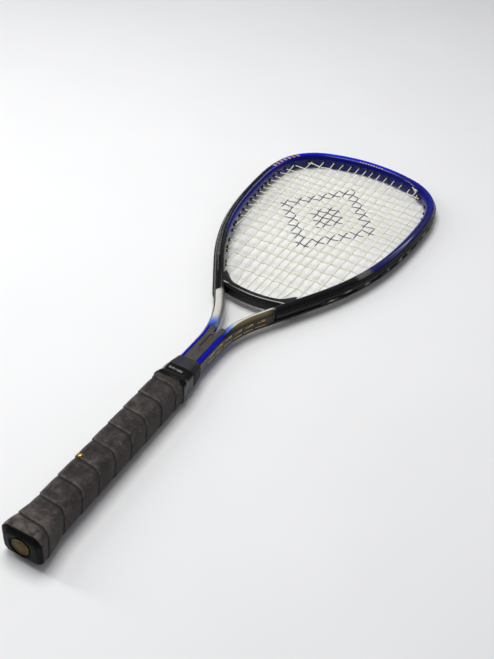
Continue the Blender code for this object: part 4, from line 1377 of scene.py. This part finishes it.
def build_tack(brass):
    centre = (TACK_LOW + TACK_HIGH) / 2
    axis = Vector((0, 0, 1))
    profile = [(0.6, -1.2), (0.6, 0.1), (1.9, 0.1), (2.1, 0.35), (1.95, 0.75), (1.45, 1.1), (0.8, 1.3),
               (0.15, 1.36)]
    rings = turned([(r * MM, (out - 0.45) * MM) for r, out in profile], centre, axis, 28)
    for ring in rings[3:7]:
        for j, p in enumerate(ring):
            ring[j] = p + axis * surface_noise(p, 900, 4.0) * 0.05 * MM
    piece("tack_head", loft(rings), brass, "tack_brass", ["grip_tack"], 35)


# ---- carried-over nodes

def repaint(name, finish):
    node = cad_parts[name]
    node.data.materials.clear()
    node.data.materials.append(finish)


def finish_hidden_nodes():
    foam = foam_finish("pallet_foam", (150, 128, 92), (196, 176, 138), 900)
    cushion = foam_finish("base_grip_foam", (22, 22, 24), (52, 52, 54), 1400)
    steel = metal_finish("pin_steel", (110, 110, 112), (178, 178, 180), 0.3)
    for name in ("handle_pallet_front", "handle_pallet_back"):
        repaint(name, foam)
    repaint("base_grip", cushion)
    for name in ("butt_pin_front", "butt_pin_back"):
        repaint(name, steel)


# ---- studio

def area_light(name, place, aim, size, power):
    data = bpy.data.lights.new(name, "AREA")
    data.shape = "RECTANGLE"
    data.size, data.size_y = size
    data.energy = power
    lamp = add_object(name, data)
    lamp.location = place
    lamp.rotation_euler = (Vector(aim) - Vector(place)).to_track_quat("-Z", "Y").to_euler()


def build_floor():
    """Floor through the tape's and the hoop's back, where the racket rests."""
    back = Vector((0, TIP_Y - BUMPER_RISE, -HOOP_B))
    tape = Vector((0, TAPE_LOW.y, TAPE_LOW.z))
    slope = (back.z - tape.z) / (back.y - tape.y)
    half = 4.0
    corners = []
    for x, y in ((-half, -half), (half, -half), (half, half), (-half, half)):
        corners.append((x, y, tape.z + (y - tape.y) * slope - 0.3 * MM))
    floor = add_object("studio_floor", mesh_of("studio_floor", (corners, [(0, 1, 2, 3)])))
    floor.data.materials.append(floor_finish())


def build_lights():
    world = bpy.data.worlds.new("studio")
    world.use_nodes = True
    sky = world.node_tree.nodes["Background"]
    sky.inputs["Color"].default_value = (0.93, 0.95, 1.0, 1.0)
    sky.inputs["Strength"].default_value = 0.22
    bpy.context.scene.world = world
    middle = (0, 0.35, 0)
    area_light("overhead", (-0.35, 0.35, 1.5), middle, (0.9, 0.8), 18)
    area_light("left_box", (-1.3, 0.0, 0.9), middle, (0.2, 1.0), 7.5)
    area_light("head_strip", (0.3, 1.7, 0.9), middle, (1.2, 0.06), 1.6)
    bpy.context.scene.view_settings.view_transform = "Standard"


def build_camera():
    data = bpy.data.cameras.new("camera")
    data.lens = 50.25
    data.sensor_width = 36.0
    camera = add_object("camera", data)
    camera.location = (0.3133, -0.3108, 0.5597)
    aim = Vector((0.0194, 0.3148, 0.0))
    roll = Quaternion((0, 0, 1), radians(5.17))
    camera.rotation_mode = "QUATERNION"
    camera.rotation_quaternion = (aim - camera.location).to_track_quat("-Z", "Y") @ roll
    bpy.context.scene.camera = camera


# ---- assembly

def build_all():
    nylon = nylon_finish("grommet_nylon", (18, 18, 20), (112, 102, 100), 0.16)
    cream = nylon_finish("bridge_nylon", (186, 182, 170), (120, 114, 104), 0.3)
    plastic = nylon_finish("cap_plastic", (7, 7, 7), (40, 37, 34), 0.08, 0.1)
    gold = metal_finish("gold_print", (166, 126, 44), (226, 186, 84), 0.4, 0.3)
    bronze = metal_finish("medallion_gold", (46, 37, 18), (100, 82, 40), 0.42)
    brass = metal_finish("tack_brass", (150, 108, 40), (206, 166, 88), 0.32)
    # Silver for the tape's print and for the painted highlight streaks on the hoop.
    silver = metal_finish("silver_print_and_highlight", (148, 143, 136), (208, 203, 194), 0.36)
    build_frame(paint_finish())
    build_strips(nylon)
    build_bridge(gloss_black_finish(), cream, nylon)
    build_throat_plates(plate_finish())
    build_strings(string_finish())
    build_marks(gold, silver)
    build_overgrip(grip_finish())
    build_butt(plastic, bronze)
    build_tape(tape_finish(), silver)
    build_collar(rubber_finish())
    build_tack(brass)
    finish_hidden_nodes()
    build_floor()
    build_lights()
    build_camera()


build_all()
